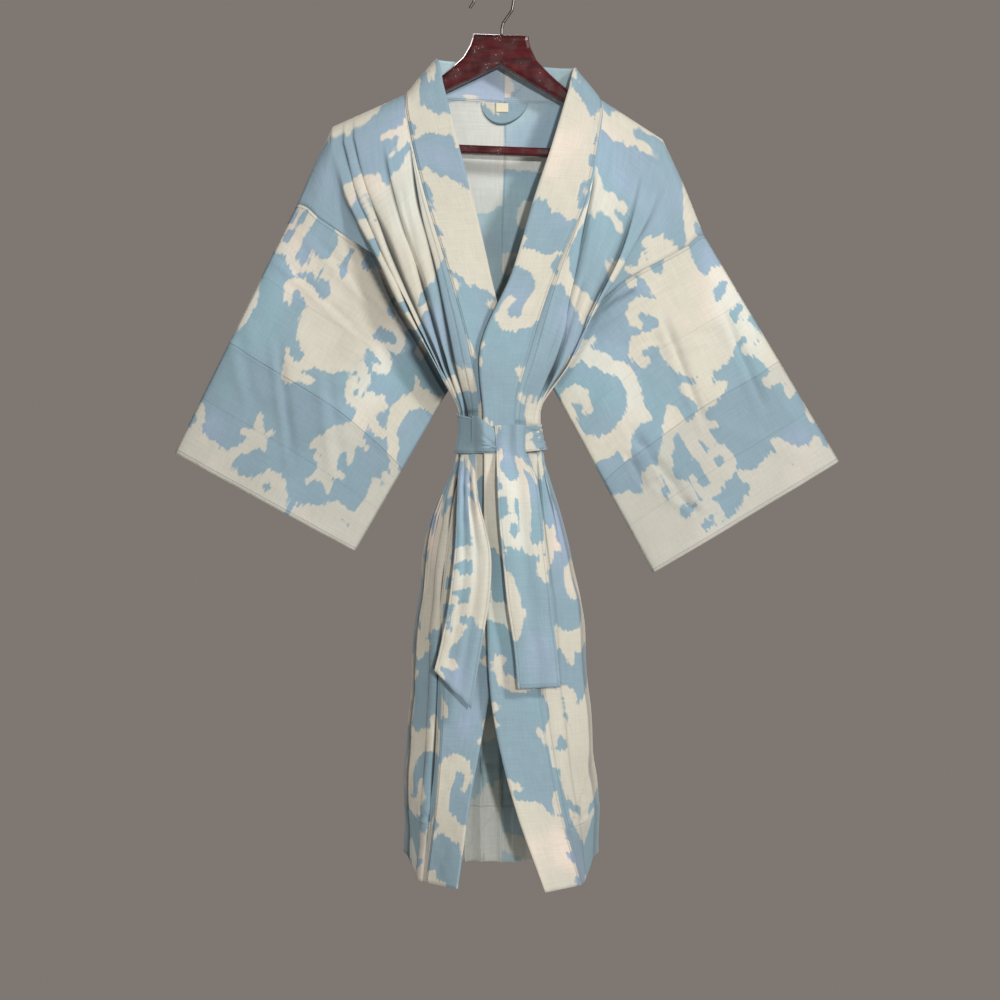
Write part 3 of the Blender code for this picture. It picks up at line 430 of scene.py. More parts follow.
def back_grid(drops):
    """The back's rows from side to side, where its neck begins and ends, and the neck's shares."""
    left_tuck, left_fold, left_neck, middle, right_neck, right_fold, right_tuck = (
        rail(BACK, column, drops) for column in range(7)
    )
    sides = []
    for table in (LEFT_FRONT, RIGHT_FRONT):
        side = rail(table, 4, drops)
        side[drops < UNDERARM_DROP, 1] *= -1
        sides.append(side)
    height = pleat_height(1, drops)
    left = turned_back(left_fold, left_tuck, sides[0])[:, :0:-1]
    left_face, _ = pleated(left_fold, left_neck, LEFT_BACK_LINES, LEFT_BACK_PLEATS, height, 1, drops)
    along, rise, _, _ = pleat_profile(MIDDLE_LINES, MIDDLE_PLEATS, drops)
    along = along[0]
    centre = round_neck(left_neck, middle, right_neck, along)
    centre[:, :, 1] += pleat_height(2, drops)[:, None] * rise
    right_face, _ = pleated(right_neck, right_fold, RIGHT_BACK_LINES, RIGHT_BACK_PLEATS, height, 1, drops)
    right = turned_back(right_fold, right_tuck, sides[1])
    grid = np.concatenate([left, left_face, centre, right_face, right], axis=1)
    start = left.shape[1] + left_face.shape[1]
    return grid, (start, start + centre.shape[1]), along


def sleeve_grid(front_edge, back_edge, cuff):
    """Rings from the armhole to the cuff, each down the front wall and back up the rear wall."""
    ring = np.vstack([front_edge, back_edge[::-1][1:-1]])
    lengths = np.r_[0, np.cumsum(np.linalg.norm(np.diff(front_edge, axis=0), axis=1))]
    shares = lengths / lengths[-1]
    around = np.r_[shares, shares[::-1][1:-1]]
    top, foot = np.asarray(cuff[0], float), np.asarray(cuff[1], float)
    end = top + (foot - top) * around[:, None]
    depth = CUFF_DEPTH * np.sin(math.pi * around) ** 0.5
    end[:, 1] += np.where(np.arange(len(ring)) < len(front_edge), -depth, depth)
    out = np.linspace(0, 1, SLEEVE_LENGTH_STEPS + 1)[:, None, None]
    return ring[None] * (1 - out) + end[None] * out, around


# Creases and waves

def normals_of(grid, ring=False):
    """Unit normals of a grid of points, all turned the same way."""
    if ring:
        across = np.roll(grid, -1, axis=1) - np.roll(grid, 1, axis=1)
    else:
        across = np.gradient(grid, axis=1)
    normal = np.cross(across, np.gradient(grid, axis=0))
    return normal / np.maximum(np.linalg.norm(normal, axis=2), 1e-9)[:, :, None]


def crease_field(x, z, creases):
    """How far creases move the cloth at x and z: each has its two ends, its width and height, and its kind.

    A ridge stands up on its line, and a step stands up on one side of it and falls on the other.
    """
    total = np.zeros_like(x)
    for x0, z0, x1, z1, width, height, kind in creases:
        length = math.hypot(x1 - x0, z1 - z0)
        ux, uz = (x1 - x0) / length, (z1 - z0) / length
        along = ((x - x0) * ux + (z - z0) * uz) / length
        aside = ((x - x0) * uz - (z - z0) * ux) / width
        ends = np.clip(along / 0.3, 0, 1) * np.clip((1 - along) / 0.3, 0, 1)
        ends = ends * ends * (3 - 2 * ends)
        shape = np.exp(-aside * aside) if kind == "ridge" else aside * np.exp(0.5 - aside * aside)
        total += height * ends * shape
    return total


def waves(u, v, seed, size, count=7):
    """Soft uneven swells of about a given length, between about -1 and 1."""
    chance = np.random.default_rng(seed)
    total = np.zeros_like(u)
    for _ in range(count):
        angle = chance.uniform(0, math.pi)
        pitch = size * chance.uniform(0.7, 1.7)
        start = chance.uniform(0, 2 * math.pi)
        total += np.sin(2 * math.pi * (u * math.cos(angle) + v * math.sin(angle)) / pitch + start)
    return total / math.sqrt(count)


def bell(value, middle, spread):
    return np.exp(-(((value - middle) / spread) ** 2))


# Print: motifs as distances from simple shapes, negative inside, in metres

def turn(x, y, angle):
    c, s = math.cos(angle), math.sin(angle)
    return x * c + y * s, y * c - x * s


def oval(x, y, cx, cy, rx, ry, angle=0.0):
    px, py = turn(x - cx, y - cy, math.radians(angle))
    reach = np.sqrt((px / rx) ** 2 + (py / ry) ** 2)
    return (reach - 1) * min(rx, ry)


def stalk(x, y, ax, ay, bx, by, ra, rb):
    """A straight limb that tapers from one radius to another."""
    dx, dy = bx - ax, by - ay
    share = np.clip(((x - ax) * dx + (y - ay) * dy) / (dx * dx + dy * dy), 0, 1)
    return np.hypot(x - ax - dx * share, y - ay - dy * share) - (ra + (rb - ra) * share)


def curl(x, y, cx, cy, radius, start, sweep, wide, narrow):
    """A curved limb round a centre, from wide at its start to narrow at its end. Angles in degrees."""
    px, py = x - cx, y - cy
    way = math.copysign(1, sweep)
    angle = np.degrees(np.arctan2(py, px)) * way
    share = ((angle - start * way) % 360) / abs(sweep)
    past = share > 1
    share = np.where(past, np.where(share - 1 < (360 / abs(sweep) - 1) / 2, 1, 0), share)
    at = np.radians(start + sweep * share)
    gap = np.hypot(px - radius * np.cos(at), py - radius * np.sin(at))
    return gap - (wide + (narrow - wide) * share)


def petal(x, y, index):
    """One of five torn petals, long and short by turns."""
    angle = math.radians(72 * index + 18)
    reach = 0.030 if index % 2 else 0.024
    return stalk(x, y, 0, 0, reach * math.cos(angle), reach * math.sin(angle), 0.010, 0.003)


def motif(*limbs):
    """A shape joined from limbs, each given as its kind and its sizes, that may be moved to a centre."""
    def shape(x, y, cx=0.0, cy=0.0):
        x, y = x - cx, y - cy
        return np.minimum.reduce([limb(x, y, *sizes) for limb, *sizes in limbs])
    return shape


# A heavy fruit with a torn crown, curled side limbs and a leafed foot
BULB = motif(
    (oval, 0.0, -0.022, 0.052, 0.050),
    (oval, 0.004, 0.028, 0.038, 0.056),
    (stalk, 0.014, 0.060, 0.026, 0.112, 0.022, 0.004),
    (stalk, -0.002, 0.060, 0.004, 0.096, 0.018, 0.004),
    (stalk, -0.020, 0.050, -0.036, 0.084, 0.014, 0.006),
    (curl, -0.046, 0.084, 0.011, 0, 200, 0.008, 0.004),
    (stalk, -0.030, 0.030, -0.052, 0.044, 0.010, 0.008),
    (curl, -0.060, 0.034, 0.013, 50, 190, 0.008, 0.004),
    (stalk, -0.040, -0.006, -0.066, 0.000, 0.010, 0.008),
    (curl, -0.074, -0.012, 0.014, 60, 190, 0.009, 0.004),
    (stalk, 0.034, 0.040, 0.062, 0.048, 0.010, 0.007),
    (curl, 0.068, 0.036, 0.013, 110, -190, 0.008, 0.004),
    (stalk, 0.040, 0.002, 0.066, 0.010, 0.009, 0.007),
    (curl, 0.072, -0.002, 0.013, 110, -190, 0.009, 0.004),
    (stalk, 0.042, -0.036, 0.060, -0.030, 0.009, 0.007),
    (curl, 0.062, -0.044, 0.013, 80, -180, 0.008, 0.003),
    (stalk, -0.004, -0.066, -0.018, -0.106, 0.009, 0.006),
    (stalk, -0.016, -0.104, -0.040, -0.080, 0.012, 0.003),
    (stalk, -0.016, -0.104, 0.014, -0.092, 0.010, 0.003),
)
# A torn leaf on a curved foot that ends in two hooks
LEAF = motif(
    (oval, 0.0, 0.022, 0.020, 0.040, 10),
    (stalk, -0.010, 0.040, -0.022, 0.068, 0.012, 0.003),
    (stalk, 0.004, 0.040, 0.012, 0.074, 0.010, 0.003),
    (stalk, 0.014, 0.020, 0.036, 0.030, 0.010, 0.003),
    (stalk, 0.010, 0.000, 0.030, -0.004, 0.010, 0.003),
    (stalk, -0.002, -0.010, -0.014, -0.050, 0.011, 0.010),
    (curl, -0.036, -0.044, 0.020, -20, 200, 0.010, 0.005),
    (curl, 0.014, -0.056, 0.022, 190, -170, 0.010, 0.005),
)
# A star of torn petals
FLORET = motif((oval, 0, 0, 0.012, 0.012), *((petal, index) for index in range(5)))
# A long curving stem that rolls up at one end and bears a floret at the other
SCROLL = motif(
    (curl, 0.0, 0.0, 0.062, 215, -250, 0.008, 0.016),
    (curl, 0.034, -0.030, 0.026, 10, -230, 0.013, 0.006),
    (stalk, -0.052, -0.036, -0.036, -0.074, 0.009, 0.007),
    (stalk, 0.0, 0.064, 0.016, 0.090, 0.012, 0.003),
    (stalk, -0.036, 0.050, -0.046, 0.074, 0.010, 0.003),
    (stalk, 0.050, 0.040, 0.078, 0.056, 0.012, 0.003),
    (FLORET, -0.034, -0.088),
)
# A thin torn stem with thorns, bent at its middle
BOUGH = motif(
    (stalk, -0.040, -0.060, -0.004, 0.062, 0.008, 0.006),
    (stalk, -0.004, 0.062, 0.036, -0.020, 0.005, 0.009),
    (stalk, 0.036, -0.020, 0.020, -0.070, 0.009, 0.005),
    (curl, -0.050, -0.040, 0.018, 300, -230, 0.009, 0.004),
    (curl, -0.022, -0.056, 0.020, 180, 200, 0.009, 0.004),
)
# One repeat of the print: motif, its middle across and up, its size, its turn and its hand
REPEAT = (0.340, 0.440)
PLACES = (
    (BULB, 0.095, 0.120, 0.86, -8, 1),
    (SCROLL, 0.262, 0.080, 0.84, 15, 1),
    (LEAF, 0.185, 0.212, 0.95, -25, 1),
    (BULB, 0.272, 0.332, 0.90, 10, -1),
    (SCROLL, 0.084, 0.316, 0.80, 170, -1),
    (FLORET, 0.170, 0.398, 0.95, 0, 1),
    (BOUGH, 0.022, 0.208, 0.80, 12, 1),
    (LEAF, 0.172, 0.020, 0.85, 160, -1),
    (FLORET, 0.328, 0.215, 0.80, 30, 1),
)


def print_field(u, v, shift, grown=0.0012):
    """Distance to the nearest grown motif's edge, negative inside, with the print moved by shift."""
    nearest = np.full(u.shape, 1.0)
    for shape, x0, y0, size, angle, hand in PLACES:
        x = (u + shift[0] - x0 + REPEAT[0] / 2) % REPEAT[0] - REPEAT[0] / 2
        y = (v + shift[1] - y0 + REPEAT[1] / 2) % REPEAT[1] - REPEAT[1] / 2
        x, y = turn(x, y, math.radians(angle))
        nearest = np.minimum(nearest, shape(x * hand / size, y / size) * size)
    return nearest - grown


# Meshes

def crevices(grid, ring):
    """Painted shade in the hollows of folds: up to 1 on the side the normals face, down to -1 on the other.
    """
    if ring:
        before, after = np.roll(grid, 1, axis=1), np.roll(grid, -1, axis=1)
    else:
        before = np.concatenate([grid[:, :1], grid[:, :-1]], axis=1)
        after = np.concatenate([grid[:, 1:], grid[:, -1:]], axis=1)
    gap = np.maximum(np.linalg.norm(after - before, axis=2) / 2, 0.8)
    bent = np.sum(((before + after) / 2 - grid) * normals_of(grid, ring), axis=2) / gap
    if not ring:
        bent[:, 0] = bent[:, -1] = 0
    painted_shade = np.sign(bent) * np.clip((np.abs(bent) - 0.05) / 0.30, 0, 1)
    for _ in range(2):
        painted_shade[:, 1:-1] = (painted_shade[:, :-2] + 2 * painted_shade[:, 1:-1] + painted_shade[:, 2:]) / 4
        painted_shade[1:-1] = (painted_shade[:-2] + 2 * painted_shade[1:-1] + painted_shade[2:]) / 4
    return np.clip(painted_shade * 1.5, -1, 1)


def near_line(x, z, line, width):
    """How near points lie to a line of x and z points in mm: 1 on it, falling away over a width."""
    least = np.full(x.shape, 1e6)
    line = np.asarray(line, float)
    for (x0, z0), (x1, z1) in zip(line[:-1], line[1:]):
        dx, dz = x1 - x0, z1 - z0
        share = np.clip(((x - x0) * dx + (z - z0) * dz) / (dx * dx + dz * dz), 0, 1)
        least = np.minimum(least, np.hypot(x - x0 - dx * share, z - z0 - dz * share))
    return np.exp(-((least / width) ** 2))


def nearest_seam(*distances):
    """The signed distance to the nearest of several sewn lines."""
    nearest = distances[0]
    for distance in distances[1:]:
        nearest = np.where(np.abs(distance) < np.abs(nearest), distance, nearest)
    return nearest


def widths(grid, rows=slice(None)):
    """Cloth lengths across each column, in metres, averaged over rows."""
    steps = np.linalg.norm(np.diff(grid[rows], axis=1), axis=2).mean(axis=0)
    return np.r_[0, np.cumsum(steps)] * MM


def forwards(points):
    return np.array([0.0, -1.0, 0.0])


def backwards(points):
    return np.array([0.0, 1.0, 0.0])


def away(grid, axes):
    """The way out from the middle of a ring of cloth, along the axes that count."""
    middle = grid.reshape(-1, 3).mean(axis=0) * MM
    return lambda points: (points - middle) * axes


def cloth_piece(
    name, grid, u, v, field, stitch, materials,
    outward=forwards, thickness=0.7, ring=False, shaded=0.0, lined=0.0,
):
    """A cloth piece over a grid of points in mm, with its own lengths u and v in metres as its UV map.

    shaded adds painted shadow and painted shade to the painted crevice shade, where another layer lies close
    over the cloth. lined is 1 where a hem or facing doubles it.
    """
    rows, columns = grid.shape[:2]
    i, j = np.meshgrid(np.arange(rows - 1), np.arange(columns if ring else columns - 1), indexing="ij")
    k = (j + 1) % columns
    row, next_row = i * columns, (i + 1) * columns
    corners = np.stack([row + j, next_row + j, next_row + k, row + k], axis=-1).reshape(-1, 4)
    points = grid.reshape(-1, 3) * MM
    first, second, third, fourth = (points[corners[:, index]] for index in range(4))
    if np.sum(np.cross(third - first, fourth - second) * outward(points[corners].mean(axis=1))) < 0:
        corners = corners[:, ::-1]
    # Painted shade in the hollows of the folds, with the painted shade and shadow of other layers added to it
    painted_shade = crevices(grid, ring)
    if np.sum(normals_of(grid, ring).reshape(-1, 3) * outward(points)) < 0:
        painted_shade = -painted_shade
    painted_shade = np.clip(painted_shade + shaded, -1, 1)
    mesh = bpy.data.meshes.new(name)
    mesh.from_pydata(points.tolist(), [], corners.tolist())
    around = np.stack([u.reshape(-1), v.reshape(-1)], axis=1)[corners.reshape(-1)]
    if ring:
        # Faces that close the ring go on past its length instead of back to its start
        girth = u.max()
        flat = around.reshape(-1, 4, 2)
        wraps = flat[:, :, 0].max(axis=1) - flat[:, :, 0].min(axis=1) > 0.5 * girth
        across = flat[wraps, :, 0]
        flat[wraps, :, 0] = np.where(across < 0.5 * girth, across + girth + 0.004, across)
        around = flat.reshape(-1, 2)
    layer = mesh.uv_layers.new(name="cloth")
    layer.data.foreach_set("uv", around.astype(np.float32).reshape(-1))
    lined = np.broadcast_to(lined, grid.shape[:2])
    # The crevice attribute carries the painted shade
    for title, values in (("print", field), ("stitch", stitch), ("crevice", painted_shade), ("lined", lined)):
        stored = mesh.attributes.new(title, "FLOAT", "POINT")
        stored.data.foreach_set("value", values.astype(np.float32).reshape(-1))
    mesh.shade_smooth()
    piece = bpy.data.objects.new(name, mesh)
    for material in materials:
        mesh.materials.append(material)
    bpy.context.scene.collection.objects.link(piece)
    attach(piece, "root")
    solid = piece.modifiers.new("thickness", "SOLIDIFY")
    solid.thickness = thickness * MM
    solid.offset = 0.0
    solid.use_even_offset = False
    solid.material_offset = 1 if len(materials) > 1 else 0
    solid.use_rim = True
    return piece


# Materials

def put_in(tree, socket, value):
    if isinstance(value, bpy.types.NodeSocket):
        tree.links.new(value, socket)
    else:
        socket.default_value = value


def node(tree, kind, inputs=None, **settings):
    made = tree.nodes.new(kind)
    for name, value in settings.items():
        setattr(made, name, value)
    for name, value in (inputs or {}).items():
        put_in(tree, made.inputs[name], value)
    return made


def maths(tree, operation, first, second=0.0, third=0.0, clamp=False):
    inputs = {0: first, 1: second, 2: third}
    return node(tree, "ShaderNodeMath", inputs, operation=operation, use_clamp=clamp).outputs[0]


def ramp(tree, value, low, high, to_low=0.0, to_high=1.0):
    inputs = {"Value": value, "From Min": low, "From Max": high, "To Min": to_low, "To Max": to_high}
    return node(tree, "ShaderNodeMapRange", inputs, interpolation_type="SMOOTHSTEP").outputs["Result"]


def mix_colours(tree, share, first, second, blend="MIX"):
    inputs = {0: share, 6: first, 7: second}
    return node(tree, "ShaderNodeMix", inputs, data_type="RGBA", blend_type=blend).outputs[2]


def noise(tree, place, scale, detail=2.0, rough=0.5):
    inputs = {"Vector": place, "Scale": scale, "Detail": detail, "Roughness": rough}
    return node(tree, "ShaderNodeTexNoise", inputs).outputs["Fac"]


def stretched(tree, place, across, along, up=1.0):
    return node(tree, "ShaderNodeMapping", {"Vector": place, "Scale": (across, along, up)}).outputs["Vector"]


def attribute(tree, name):
    return node(tree, "ShaderNodeAttribute", attribute_name=name).outputs["Fac"]


def tinted(tree, colour, *tints):
    """A colour with tints mixed in, each with its mask, where it comes in, its share and its colour."""
    for mask, low, high, share, tint in tints:
        colour = mix_colours(tree, ramp(tree, mask, low, high, 0.0, share), colour, tint)
    return colour


def darkened(tree, colour, *shades):
    """A colour with darker ones over it, each with its mask, its share and its colour."""
    for mask, share, tint in shades:
        colour = mix_colours(tree, maths(tree, "MULTIPLY", mask, share), colour, tint)
    return colour


def new_group(name, outputs, inputs):
    group = bpy.data.node_groups.new(name, "ShaderNodeTree")
    for title, kind, value in inputs:
        socket = group.interface.new_socket(title, in_out="INPUT", socket_type=kind)
        socket.default_value = value
    for title, kind in outputs:
        group.interface.new_socket(title, in_out="OUTPUT", socket_type=kind)
    return group


def dyed_cotton_and_painted_shade_group():
    """Colour with painted fold shade, and relief, of plain-woven printed cotton from the cloth's own UV map
    and attributes.
    """
    group = new_group(
        "dyed cotton",
        (("Colour", "NodeSocketColor"), ("Height", "NodeSocketFloat")),
        (
            ("Ground", "NodeSocketColor", (0.30, 0.46, 0.58, 1)),
            ("Figure", "NodeSocketColor", (0.80, 0.76, 0.69, 1)),
            ("Strength", "NodeSocketFloat", 1.0),
            ("Side", "NodeSocketFloat", 1.0),
        ),
    )
    given = group.nodes.new("NodeGroupInput").outputs
    out = group.nodes.new("NodeGroupOutput").inputs
    place = node(group, "ShaderNodeUVMap", uv_map="cloth").outputs["UV"]
    # Torn edges of the print: fine teeth across the warp, steps, and slower wandering
    edge = attribute(group, "print")
    for yarns, scale, detail, reach in (
        (stretched(group, place, 1.0, 0.12), 210.0, 1.0, 0.0120),
        (stretched(group, place, 0.4, 1.0), 170.0, 1.0, 0.0050),
        (place, 42.0, 2.0, 0.0090),
    ):
        torn = maths(group, "MULTIPLY_ADD", noise(group, yarns, scale, detail), reach, -reach / 2)
        edge = maths(group, "ADD", edge, torn)
    mask = maths(group, "MULTIPLY", ramp(group, edge, 0.0014, -0.0014), given["Strength"])
    # Uneven dye: violet and greener patches in the ground, and warmer and greener ones in the figures
    broad = noise(group, place, 7.0, 2.0)
    broader = noise(group, stretched(group, place, 1.4, 0.8), 5.0, 1.0)
    ground = tinted(
        group, given["Ground"],
        (broad, 0.50, 0.72, 0.75, (0.36, 0.43, 0.585, 1)),
        (broader, 0.52, 0.72, 0.55, (0.27, 0.455, 0.51, 1)),
    )
    figure = tinted(
        group, given["Figure"],
        (broad, 0.54, 0.72, 0.8, (0.83, 0.71, 0.61, 1)),
        (broader, 0.56, 0.74, 0.7, (0.70, 0.74, 0.67, 1)),
    )
    colour = mix_colours(group, mask, ground, figure)
    # Slubs of the yarn in both directions
    slub = noise(group, stretched(group, place, 1.0, 0.06), 520.0, 2.0, 0.7)
    weft = noise(group, stretched(group, place, 0.06, 1.0), 520.0, 2.0, 0.7)
    yarn = maths(group, "ADD", slub, weft)
    shade = ramp(group, yarn, 0.55, 1.45, 0.92, 1.06)
    grey = node(group, "ShaderNodeCombineColor", {0: shade, 1: shade, 2: shade}).outputs[0]
    colour = mix_colours(group, 1.0, colour, grey, "MULTIPLY")
    # Grooves of the sewn lines, doubled cloth that lets less light through, and painted shade in crevices
    # between folds and under other layers
    seam = maths(group, "ABSOLUTE", attribute(group, "stitch"))
    groove = ramp(group, seam, 0.0011, 0.0003)
    # Painted shade, on the side of the cloth that the crevice attribute faces
    painted_shade = maths(group, "MULTIPLY", attribute(group, "crevice"), given["Side"], clamp=True)
    colour = darkened(
        group, colour,
        (groove, 0.22, (0.12, 0.18, 0.22, 1)),
        (attribute(group, "lined"), 0.20, (0.16, 0.22, 0.27, 1)),
        (painted_shade, 0.86, (0.020, 0.030, 0.038, 1)),
    )
    pucker = maths(group, "MULTIPLY", ramp(group, seam, 0.009, 0.0), noise(group, place, 230.0, 1.0))
    crumple = noise(group, place, 38.0, 3.0, 0.55)
    relief = maths(group, "MULTIPLY", yarn, 0.00006)
    for part, height in ((groove, -0.0006), (pucker, 0.0006), (crumple, 0.0014)):
        relief = maths(group, "MULTIPLY_ADD", part, height, relief)
    put_in(group, out["Colour"], colour)
    put_in(group, out["Height"], relief)
    return group


def principled(name, values):
    """A material with the values of its shader's own sockets."""
    material = bpy.data.materials.new(name)
    material.use_nodes = True
    shader = material.node_tree.nodes["Principled BSDF"]
    for title, value in values.items():
        shader.inputs[title].default_value = value
    return material, material.node_tree, shader.inputs


def bump(tree, inputs, height, strength, distance):
    made = node(tree, "ShaderNodeBump", {"Height": height, "Strength": strength, "Distance": distance})
    put_in(tree, inputs["Normal"], made.outputs["Normal"])


def cotton(name, group, ground, figure, strength, side):
    material, tree, inputs = principled(
        name, {"Roughness": 0.82, "Sheen Weight": 0.15, "Sheen Roughness": 0.5, "Specular IOR Level": 0.25}
    )
    given = {"Ground": ground, "Figure": figure, "Strength": strength, "Side": side}
    # The group's colour holds the print and the painted shade of the folds
    dyed_and_painted_shade = node(tree, "ShaderNodeGroup", given, node_tree=group).outputs
    put_in(tree, inputs["Base Color"], dyed_and_painted_shade["Colour"])
    bump(tree, inputs, dyed_and_painted_shade["Height"], 0.8, 1.0)
    return material


def lacquer():
    """Dark red lacquered wood with grain under the gloss and pale dust specks."""
    material, tree, inputs = principled("lacquered wood", {"Coat Weight": 0.6, "Coat Roughness": 0.12})
    place = node(tree, "ShaderNodeTexCoord").outputs["Object"]
    grain = noise(tree, stretched(tree, place, 12.0, 80.0, 80.0), 3.0, 4.0, 0.6)
    tone = ramp(tree, grain, 0.35, 0.70)
    colour = mix_colours(tree, tone, (0.036, 0.0014, 0.003, 1), (0.095, 0.003, 0.007, 1))
    specks = node(tree, "ShaderNodeTexVoronoi", {"Vector": place, "Scale": 330.0}).outputs["Distance"]
    sparse = noise(tree, place, 60.0, 1.0)
    dust = maths(tree, "MULTIPLY", ramp(tree, specks, 0.20, 0.10), ramp(tree, sparse, 0.54, 0.62))
    put_in(tree, inputs["Base Color"], mix_colours(tree, dust, colour, (0.62, 0.60, 0.58, 1)))
    rough = maths(tree, "MULTIPLY_ADD", dust, 0.5, ramp(tree, sparse, 0.3, 0.7, 0.18, 0.34))
    put_in(tree, inputs["Roughness"], rough)
    bump(tree, inputs, grain, 0.15, 0.0006)
    return material


def steel():
    material, tree, inputs = principled("steel wire", {"Metallic": 1.0})
    drawn = noise(tree, node(tree, "ShaderNodeTexCoord").outputs["Object"], 300.0, 2.0)
    tone = ramp(tree, drawn, 0.3, 0.7)
    colour = mix_colours(tree, tone, (0.055, 0.050, 0.047, 1), (0.13, 0.12, 0.115, 1))
    put_in(tree, inputs["Base Color"], colour)
    put_in(tree, inputs["Roughness"], ramp(tree, drawn, 0.3, 0.7, 0.28, 0.45))
    return material


def tape():
    material, tree, inputs = principled("label tape", {"Roughness": 0.8})
    place = node(tree, "ShaderNodeTexCoord").outputs["Object"]
    ribs = noise(tree, stretched(tree, place, 1.0, 1.0, 9.0), 260.0)
    put_in(tree, inputs["Base Color"], mix_colours(tree, ribs, (0.70, 0.62, 0.43, 1), (0.86, 0.80, 0.62, 1)))
    bump(tree, inputs, ribs, 0.3, 0.0004)
    return material


# Robe

def facing_front(grid, rows=slice(None), columns=slice(None), ring=False):
    """Unit normals of a grid of points, turned so that the given rows and columns face the front."""
    normal = normals_of(grid, ring)
    return -normal if normal[rows, columns, 1].mean() > 0 else normal


def raised(grid, normal, lift):
    return grid + normal * lift[:, :, None]


def swells(u, v, seed, broad, broad_size, fine, fine_size):
    """Broad and fine swells of the cloth, in mm, with their sizes in metres."""
    return broad * waves(u, v, seed, broad_size) + fine * waves(u, v, seed + 1, fine_size)


def gathers(u, drops, pitch, height, seed):
    """Fine upright folds that the belt draws into the cloth, dying away above and below it."""
    chance = np.random.default_rng(seed)
    above, below = bell(drops, WAIST_DROP - HALF_BELT, 70.0), bell(drops, WAIST_DROP + HALF_BELT, 60.0)
    near = np.where(drops < WAIST_DROP, above, below)
    near = np.where(np.abs(drops - WAIST_DROP) < HALF_BELT, 0.6, near)
    down = drops[:, None]
    sway = 0.004 * np.sin(down / 31.0 + chance.uniform(0, 6)) + 0.003 * np.sin(down / 17.0)
    fold = np.sin(2 * math.pi * (u + sway) / pitch + chance.uniform(0, 6))
    fold += 0.6 * np.sin(2 * math.pi * (u - sway) / (pitch * 1.7) + chance.uniform(0, 6))
    return height * near[:, None] * fold


def hem_corner(x, drops):
    """How far the hem is raised and rounded at its outer corners, in mm."""
    beyond = np.maximum(HEM_CORNERS[0] - x, x - HEM_CORNERS[1]) / 20.0
    return 24.0 * step_up(beyond, 0.0, 1.0) * step_up(drops, 800, 978)[:, None]


def front_painted_shadow(x, z):
    """How much painted shadow a front has under the belt's edges and beside its tails."""
    dark = 0.55 * near_line(x, z, BELT_TOP_EDGE, 2.4) + 0.85 * near_line(x, z, BELT_FOOT_EDGE, 3.0)
    for tail in (LEFT_TAIL, RIGHT_TAIL):
        left_edge = [(left[0] - 1.5, left[2]) for left, _ in tail if left[1] is not None]
        end = [(corner[0], corner[2] - 1.5) for corner in tail[-1]]
        dark += 0.8 * near_line(x, z, left_edge, 2.6) + 0.6 * near_line(x, z, end, 2.4)
    return dark


def made_fronts(outer, inner, drops):
    """The two fronts: their grids before creasing, and the side and band edges of the finished cloth."""
    grids, edges = {}, {}
    for name, table, lines, pleats, hand, seed, shift, creases in (
        ("left", LEFT_FRONT, LEFT_LINES, LEFT_PLEATS, 1, 3, (0.240, 0.055), LEFT_CREASES),
        ("right", RIGHT_FRONT, RIGHT_LINES, RIGHT_PLEATS, -1, 8, (0.035, 0.070), RIGHT_CREASES),
    ):
        grid, shade = front_grid(table, lines, pleats, hand, drops)
        u, v = np.meshgrid(widths(grid, slice(20, None)), drops * MM)
        hold = step_up(drops, 20, 110)[:, None] * step_up(u, 0.0, 0.02) * step_up(u.max() - u, 0.0, 0.03)
        lift = swells(u, v, seed, 1.1, 0.12, 0.35, 0.04)
        lift += crease_field(grid[:, :, 0], grid[:, :, 2], creases)
        lift += gathers(u, drops, 0.021, 1.1, seed)
        lift += 0.9 * step_up(v, HEM_LINE - 0.0015, HEM_LINE + 0.0005)
        moved = raised(grid, facing_front(grid, columns=slice(grid.shape[1] // 2)), lift * hold)
        moved[:, :, 2] += hem_corner(moved[:, :, 0], drops)
        field = print_field(u, -v, shift, 0.001 + 0.0025 * step_up(v, 0.45, 0.65))
        if name == "right":
            field = np.maximum(field, -oval(u, -v, *RIGHT_GROUND))
        seams = nearest_seam(v - HEM_LINE, u - 0.006)
        # Painted shade beside the leaning pleats and behind the outer fold, and painted shadow under the belt
        # and beside the tails
        piece = cloth_piece(
            "front_" + name + "_cloth", moved, u, -v, field, seams, (outer, inner),
            shaded=shade + front_painted_shadow(moved[:, :, 0], moved[:, :, 2]),
            lined=step_up(v, HEM_LINE - 0.0005, HEM_LINE + 0.0005),
        )
        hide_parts("front_" + name)
        grids[name], edges[name] = grid, (moved[:, -1], moved[:, 0])
    return grids, edges


def made_back(outer, inner, drops, fronts):
    """The back: its finished grid, the columns where its neck begins and ends, and the neck's shares."""
    back, neck, shares = back_grid(drops)
    below = drops >= UNDERARM_DROP
    back[below, 0], back[below, -1] = fronts["left"][below, -1], fronts["right"][below, -1]
    u, v = np.meshgrid(widths(back, slice(20, None)), drops * MM)
    hold = step_up(drops, 15, 90)[:, None] * step_up(u, 0.0, 0.03) * step_up(u.max() - u, 0.0, 0.03)
    lift = swells(u, v, 21, 1.2, 0.13, 0.35, 0.04)
    lift += crease_field(back[:, :, 0], back[:, :, 2], BACK_CREASES)
    lift += gathers(u, drops, 0.023, 1.1, 23)
    moved = raised(back, -facing_front(back), lift * hold)
    moved[:, :, 2] += hem_corner(moved[:, :, 0], drops)
    # Two halves joined by a seam down the middle, so the print breaks there
    centre_seam = u - u[0, (neck[0] + neck[1]) // 2]
    field = print_field(np.where(centre_seam < 0, u, u + 0.13), -v, (0.305, 0.205))
    seams = nearest_seam(v - HEM_LINE, centre_seam)
    piece = cloth_piece("back_cloth", moved, u, -v, field, seams, (outer, inner), backwards)
    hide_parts("back")
    return moved, neck, shares


